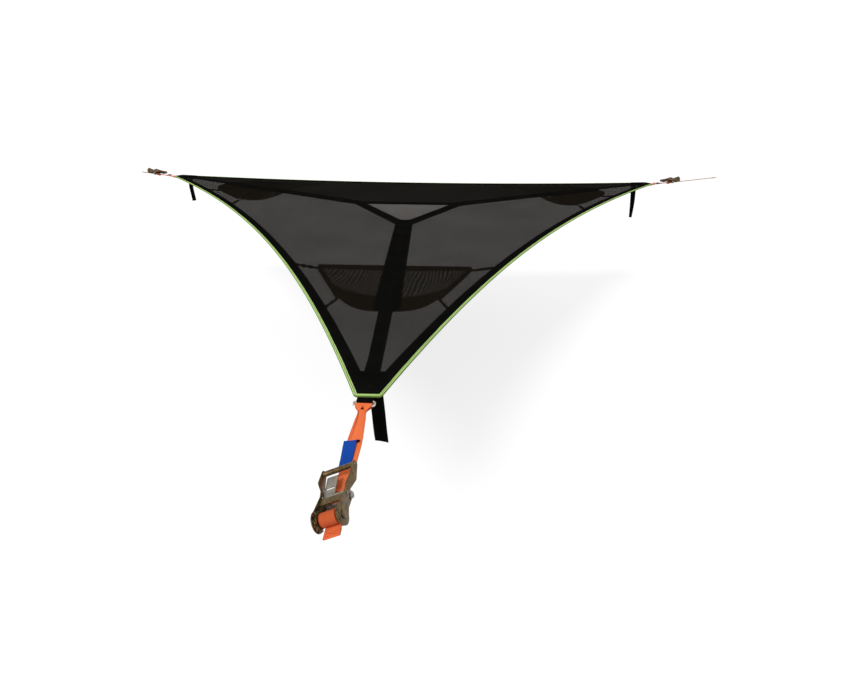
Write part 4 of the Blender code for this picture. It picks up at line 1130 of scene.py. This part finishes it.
def strap_half_width(u):
    closing, opening = gathering(u)
    width = COLLAR_WIDTH + closing * (PINCHED_WIDTH - COLLAR_WIDTH)
    return (width + opening * (STRAP_WIDTH - PINCHED_WIDTH)) / 2.0


def strap_roll(name, u):
    start = RING_OUTER_BAR + TWIST_FROM_ENDS
    twist = smoothstep(start, bolt_distance(name) - TWIST_FROM_ENDS, u)
    return math.radians(CORNERS[name].roll) * twist


def painted_edge_shade(share):
    """How much painted shade the strap's edge gets at a share of its half width."""
    return EDGE_PAINTED_SHADE * smoothstep(0.88, 0.98, abs(share))


def arch_edge(share):
    """Where the hitch's upper band ends: an arch over the two legs that run out under it."""
    return RING_OUTER_BAR + 0.0185 + 0.0135 * smoothstep(0.0, 0.62, abs(share))


def collar(bm, name):
    """The hitch's upper band, from over the ring's bar to its arched edge."""
    shares = np.linspace(-1.0, 1.0, 25)
    loops = []
    uvs = []
    shades = []
    for t in np.linspace(0.0, 1.0, 15):
        upper = []
        lower = []
        dark = []
        for s in shares:
            u = RING_OUTER_BAR - 0.002 + (arch_edge(s) - RING_OUTER_BAR + 0.002) * t
            stand_off = 0.0006 + 0.0030 * smoothstep(0.2, 1.0, t) * (1.0 - s * s)
            w = strap_spread(name, u) + STRAP_THICKNESS + stand_off
            v = s * (strap_half_width(u) + 0.0008)
            upper.append(Vector((u, v, w + 0.0007)))
            lower.append(Vector((u, v, w - 0.0007)))
            # Painted shadow along the middle of the arched edge, and painted shade along the band's sides.
            rim = smoothstep(0.75, 1.0, t) * (1.0 - smoothstep(0.0, 0.35, abs(s)))
            dark.append(0.6 * rim + 0.25 * smoothstep(0.9, 1.0, abs(s)))
        loops.append(upper + lower[::-1])
        uvs.append([(p.x, p.y) for p in upper + lower[::-1]])
        shades.append(dark + dark[::-1])
    skin(bm, loops, uvs, False, shades)


def short_strap(name, finish):
    """The doubled orange strap, hitched on its ring, gathered past it and twisted to its ratchet."""
    bolt = bolt_distance(name)
    steps = list(np.linspace(RING_OUTER_BAR + 0.001, PINCH + 0.02, 44))
    steps += list(np.linspace(PINCH + 0.023, bolt - 0.001, 70))
    top = [(u, strap_spread(name, u)) for u in steps]
    path = top + half_turn(bolt, strap_spread(name, bolt), 1.0)
    path += [(u, -w) for u, w in reversed(top)]
    path += half_turn(RING_OUTER_BAR, strap_spread(name, RING_OUTER_BAR), -1.0)
    count = len(top)

    def side(i, u):
        apart = smoothstep(PINCH, PINCH + 0.04, u) * (1.0 - smoothstep(bolt - 0.06, bolt - 0.01, u))
        return 0.0020 * apart * (1.0 if i < count else -1.0)

    def crown(i, u):
        curl = 0.0040 * gather_share(u) if i < count else 0.0
        return lambda s: curl * (1.0 - s * s)

    # Painted shade on the upper layer: the shadow under the hitch's arch, the fold past the pinch and the
    # edges; the lower layer gets only the edge shade.
    def shade(i, s):
        u = path[i][0]
        foot = arch_edge(0.0) + ARCH_SHADE
        under_arch = smoothstep(-0.001, 0.0, u - arch_edge(s)) - smoothstep(foot, foot + 0.0015, u)
        under_arch = max(0.0, under_arch)
        past_pinch = gather_share(u) * smoothstep(PINCH - 0.006, PINCH + 0.006, u)
        fold = 0.75 * math.exp(-(((s + 0.70) / 0.13) ** 2)) * past_pinch
        edge = painted_edge_shade(s)
        return min(1.0, under_arch + fold + edge) if i < count else edge

    widths = lambda i, u: strap_half_width(u)
    rolls = lambda u: strap_roll(name, u)
    bm = bmesh.new()
    strap_skin(bm, stations_of(path, widths, rolls, side, crown, True), STRAP_THICKNESS, 25, True, shade)
    collar(bm, name)
    place = strap_place(name)
    piece = placed(f"{name}_short_webbing", bm, place, finish["strap"], 60.0, f"{name}_short_strap")


def label_end(name):
    return CORNERS[name].axle - HANDLE_REACH - GRIP_RADIUS - LABEL_FROM_GRIP


def label(name, finish):
    """The blank blue label, hemmed at its sewn end and curled at its free one."""
    end = label_end(name)
    lift = CORNERS[name].label_lift
    path = []
    for t in np.linspace(0.0, 1.0, 40):
        u = end - LABEL_LENGTH * t
        raised = 0.9 * lift * smoothstep(LABEL_SEWN_SHARE, 1.0, t)
        path.append((u, strap_spread(name, u) + LABEL_RISE + raised))

    def crown(i, u):
        bend = 0.0016 * smoothstep(8, 38, i)
        return lambda s: -bend * s * s + 0.0004 * math.sin(3.0 * s + i * 0.15)

    widths = lambda i, u: LABEL_WIDTH / 2.0
    rolls = lambda u: strap_roll(name, u)
    aside = lambda i, u: -LABEL_ASIDE
    # Painted shade along the label's edges.
    edges = lambda i, s: 0.8 * smoothstep(0.86, 0.97, abs(s))
    bm = bmesh.new()
    stations = stations_of(path, widths, rolls, aside, crown)
    strap_skin(bm, stations, LABEL_THICKNESS, 21, False, edges)
    place = strap_place(name)
    piece = placed(f"{name}_blank_label", bm, place, finish["label"], 60.0, f"{name}_label")
    label_stitches(name, finish)
    label_tack(name, finish)


def label_stitches(name, finish):
    """Two rows of thread across the label's sewn end."""
    end = label_end(name)
    places = np.arange(0.003 - LABEL_WIDTH / 2.0, LABEL_WIDTH / 2.0 - 0.004, 0.0032) - LABEL_ASIDE
    bm = bmesh.new()
    for u in (end - 0.004, end - 0.010):
        w = strap_spread(name, u) + LABEL_RISE + 0.0003
        turned = turn(math.degrees(strap_roll(name, u)), "X")
        for v in places:
            tube_skin(bm, [turned @ Vector((u, v + step, w)) for step in (0.0, 0.0022)], 0.0005, 6)
    placed(f"{name}_label_stitches", bm, strap_place(name), finish["label_thread"])


def label_tack(name, finish):
    """The rolled tack sewn on the strap beside the label's free end, dark red as painted shadow where the
    strap's layers part.
    """
    u = label_end(name) - LABEL_LENGTH * 0.97
    turned = turn(math.degrees(strap_roll(name, u)), "X")
    middle = (LABEL_WIDTH / 2.0 - LABEL_ASIDE) * 0.86 + STRAP_WIDTH / 2.0 * 0.14
    level = strap_spread(name, u) + STRAP_THICKNESS / 2.0 + 0.0024
    line = []
    for t in np.linspace(-1.0, 1.0, 13):
        line.append(turned @ Vector((u - 0.0016 * t, middle + 0.0052 * t, level + 0.0008 * (1.0 - t * t))))
    bm = bmesh.new()
    tube_skin(bm, line, lambda t: 0.0012 + 0.0024 * math.sin(math.pi * t) ** 0.6, 12)
    placed(f"{name}_label_tack", bm, strap_place(name), finish["tack"])


def tree_strap(name, finish):
    """The strap out to its tree, its end folded under and sewn in a box."""
    length = CORNERS[name].strap_end - CORNERS[name].axle
    count = max(12, int(length / 0.006))
    steps = np.linspace(-TREE_STRAP_UNDER, length, count)
    path = [(u, TREE_STRAP_LEVEL) for u in steps]
    fold = TREE_STRAP_LEVEL - STRAP_THICKNESS - 0.0006
    under = [(u, fold) for u in np.linspace(length - 0.0003, length - HEM_LENGTH, 12)]
    # Painted shade along the strap's edges, on both layers.
    edges = lambda i, s: painted_edge_shade(s)
    bm = bmesh.new()
    half = STRAP_WIDTH / 2.0
    strap_skin(bm, stations_of(path, lambda i, u: half), STRAP_THICKNESS, 13, False, edges)
    strap_skin(bm, stations_of(under, lambda i, u: half - 0.0004), STRAP_THICKNESS, 13, False, edges)
    place = axle_place(name)
    piece = placed(f"{name}_tree_webbing", bm, place, finish["strap"], node=f"{name}_tree_strap")
    wide = half - 0.005
    top = TREE_STRAP_LEVEL + STRAP_THICKNESS / 2.0
    near, far = length - HEM_LENGTH + 0.004, length - 0.004
    box = ((near, -wide), (near, wide), (far, wide), (far, -wide))
    rows = crossed_box([Vector((u, v, top)) for u, v in box])
    stitches(f"{name}_hem_stitches", rows, place, finish["strap_thread"], HEM_STITCH)


def winding(name, finish):
    """The strap wound on the spool, with more points to each turn than the part's own form."""
    count = int(WINDING_TURNS * 48)
    path = []
    for i in range(count + 1):
        turned = WINDING_TURNS * i / count
        radius = WINDING_END - TURN_PITCH * turned
        angle = -math.pi / 2.0 - 2.0 * math.pi * turned
        path.append((radius * math.cos(angle), radius * math.sin(angle)))
    half = STRAP_WIDTH / 2.0
    sway = lambda i, u: 0.0006 * math.sin(i * 0.055)
    # Painted shade: the whole winding is darkened, and more at its edges.
    painted_winding_shade = lambda i, s: 0.45 + 0.45 * smoothstep(0.84, 0.98, abs(s))
    stations = stations_of(path, lambda i, u: half, None, sway)
    bm = bmesh.new()
    strap_skin(bm, stations, STRAP_THICKNESS, 15, False, painted_winding_shade)
    node, body = f"{name}_strap_winding", f"{name}_spool_and_winding"
    place = axle_place(name)
    piece = placed(f"{name}_wound_strap", bm, place, finish["strap"], node=node, body=body)


def finger_dish(name, finish):
    """The shallow pressed dish in the slot of the drive pawl's tongue, coloured dark as painted shade in
    the slot.
    """
    place = axle_place(name)
    inverse = place.inverted()
    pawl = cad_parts[f"{name}_drive_pawl"]
    end = min((inverse @ point.co).x for point in pawl.data.vertices)
    middle = end + FINGER_SLOT_FROM_END + FINGER_SLOT_LENGTH / 2.0
    half_length = FINGER_SLOT_LENGTH / 2.0 + DISH_BORDER
    half_width = FINGER_SLOT_WIDTH / 2.0 + DISH_BORDER

    def surface(column, row):
        depth = DISH_DEPTH * (1.0 - row * row) * (1.0 - column**4)
        level = PAWL_THICKNESS / 2.0 - DISH_BELOW - depth
        return Vector((middle + half_length * row, half_width * column - TONGUE_ASIDE, level))

    bm = bmesh.new()
    cloth_grid(bm, surface, np.linspace(-1.0, 1.0, 17), np.linspace(-1.0, 1.0, 9))
    placed(f"{name}_finger_dish", bm, place, finish["dish"], 180.0, body=f"{name}_drive_pawl")


def ratchet(name, finish):
    """The ratchet's metal pieces with rounded edges, each on its own body."""
    place = axle_place(name)
    spool_body = f"{name}_spool_and_winding"
    dressed(f"{name}_frame", finish["ratchet"], METAL_BEVEL, place)
    dressed(f"{name}_frame_bolt", finish["zinc"], METAL_BEVEL, place)
    dressed(f"{name}_lock_pawl", finish["zinc"], THIN_METAL_BEVEL, place, f"{name}_lock_pawl")
    dressed(f"{name}_spool", finish["ratchet"], THIN_METAL_BEVEL, place, spool_body)
    dressed(f"{name}_handle", finish["ratchet"], METAL_BEVEL, place, f"{name}_handle")
    dressed(f"{name}_drive_pawl", finish["zinc"], THIN_METAL_BEVEL, place, f"{name}_drive_pawl")
    finger_dish(name, finish)
    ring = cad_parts[f"{name}_ring"]
    ring.data.materials.clear()
    ring.data.materials.append(finish["ring"])


# The stage

FLOOR_SIZE = 60.0
FLOOR_LEVEL = -1.0
FLOOR_AHEAD = 2.5
FLOOR_GLOW = 0.76
WORLD_LIGHT = 0.55


def camera():
    made = bpy.data.cameras.new("photo_camera")
    made.sensor_fit = "HORIZONTAL"
    made.sensor_width = SENSOR
    made.lens = FOCAL_PIXELS * SENSOR / PHOTO_WIDTH
    made.clip_start = 0.05
    made.clip_end = 200.0
    seen = bpy.data.objects.new("photo_camera", made)
    bpy.context.scene.collection.objects.link(seen)
    flat = math.cos(CAMERA_PITCH)
    ahead = Vector((math.sin(CAMERA_YAW) * flat, math.cos(CAMERA_YAW) * flat, -math.sin(CAMERA_PITCH)))
    right = Vector((math.cos(CAMERA_YAW), -math.sin(CAMERA_YAW), 0.0))
    up = right.cross(ahead)
    c, s = math.cos(CAMERA_ROLL), math.sin(CAMERA_ROLL)
    x_axis = right * c + up * s
    y_axis = up * c - right * s
    rows = [(x_axis[i], y_axis[i], -ahead[i]) for i in range(3)]
    stand = Matrix.Translation(corner_place("near").translation + CAMERA_OFFSET)
    seen.matrix_world = stand @ Matrix(rows).to_4x4()
    bpy.context.scene.camera = seen


def seen_directly(tree):
    """1 for the camera's rays and for those that a mirror or glass sends on, else 0."""
    path = tree.nodes.new("ShaderNodeLightPath")
    first = tree.nodes.new("ShaderNodeMath")
    second = tree.nodes.new("ShaderNodeMath")
    first.operation = second.operation = "MAXIMUM"
    tree.links.new(path.outputs["Is Camera Ray"], first.inputs[0])
    tree.links.new(path.outputs["Is Glossy Ray"], first.inputs[1])
    tree.links.new(first.outputs[0], second.inputs[0])
    tree.links.new(path.outputs["Is Transmission Ray"], second.inputs[1])
    return second.outputs[0]


def pale_floor():
    """A pale plain floor a metre below the bed. It keeps the shadow, and is lit up to near white."""
    bm = bmesh.new()
    bmesh.ops.create_grid(bm, x_segments=1, y_segments=1, size=FLOOR_SIZE)
    nodes = Nodes("pale_floor")
    nodes.tree.nodes.remove(nodes.shader)
    diffuse = nodes.add("ShaderNodeBsdfDiffuse")
    diffuse.inputs["Color"].default_value = (0.3, 0.3, 0.3, 1.0)
    glow = nodes.add("ShaderNodeEmission")
    nodes.link(nodes.math("MULTIPLY", seen_directly(nodes.tree), FLOOR_GLOW), glow.inputs["Strength"])
    both = nodes.add("ShaderNodeAddShader")
    nodes.link(diffuse.outputs[0], both.inputs[0])
    nodes.link(glow.outputs[0], both.inputs[1])
    output = nodes.tree.nodes["Material Output"]
    nodes.link(both.outputs[0], output.inputs["Surface"])
    finished("floor", bm, shift(0.0, FLOOR_AHEAD, FLOOR_LEVEL), nodes.material)


def lamp(name, kind, place, target, energy, size):
    made = bpy.data.lights.new(name, kind)
    made.energy = energy
    if kind == "AREA":
        made.size = size
    else:
        made.angle = size
    lit = bpy.data.objects.new(name, made)
    bpy.context.scene.collection.objects.link(lit)
    lit.location = place
    way = Vector(target) - Vector(place)
    lit.rotation_euler = way.to_track_quat("-Z", "Y").to_euler()


def lights():
    world = bpy.data.worlds.new("studio")
    bpy.context.scene.world = world
    world.use_nodes = True
    tree = world.node_tree
    background = tree.nodes["Background"]
    level = tree.nodes.new("ShaderNodeMath")
    level.operation = "MULTIPLY_ADD"
    tree.links.new(seen_directly(tree), level.inputs[0])
    level.inputs[1].default_value = 1.0 - WORLD_LIGHT
    level.inputs[2].default_value = WORLD_LIGHT
    background.inputs["Color"].default_value = (1.0, 1.0, 1.0, 1.0)
    tree.links.new(level.outputs[0], background.inputs["Strength"])
    lamp("key", "SUN", (-3.0, -5.0, 8.0), (0.0, 1.0, 0.0), 1.8, math.radians(18.0))
    lamp("front", "AREA", (1.0, -3.0, 2.5), (0.0, 0.3, 0.0), 45.0, 3.0)


def main():
    camera()
    lights()
    pale_floor()
    finish = finishes()
    bed(finish)
    for name in CORNERS:
        corner_cloth(name, finish)
        pocket(name, finish)
        ring_loop(name, finish)
        hanging_tail(name, finish)
        short_strap(name, finish)
        label(name, finish)
        tree_strap(name, finish)
        winding(name, finish)
        ratchet(name, finish)
    bpy.context.scene.view_settings.view_transform = "Standard"


main()
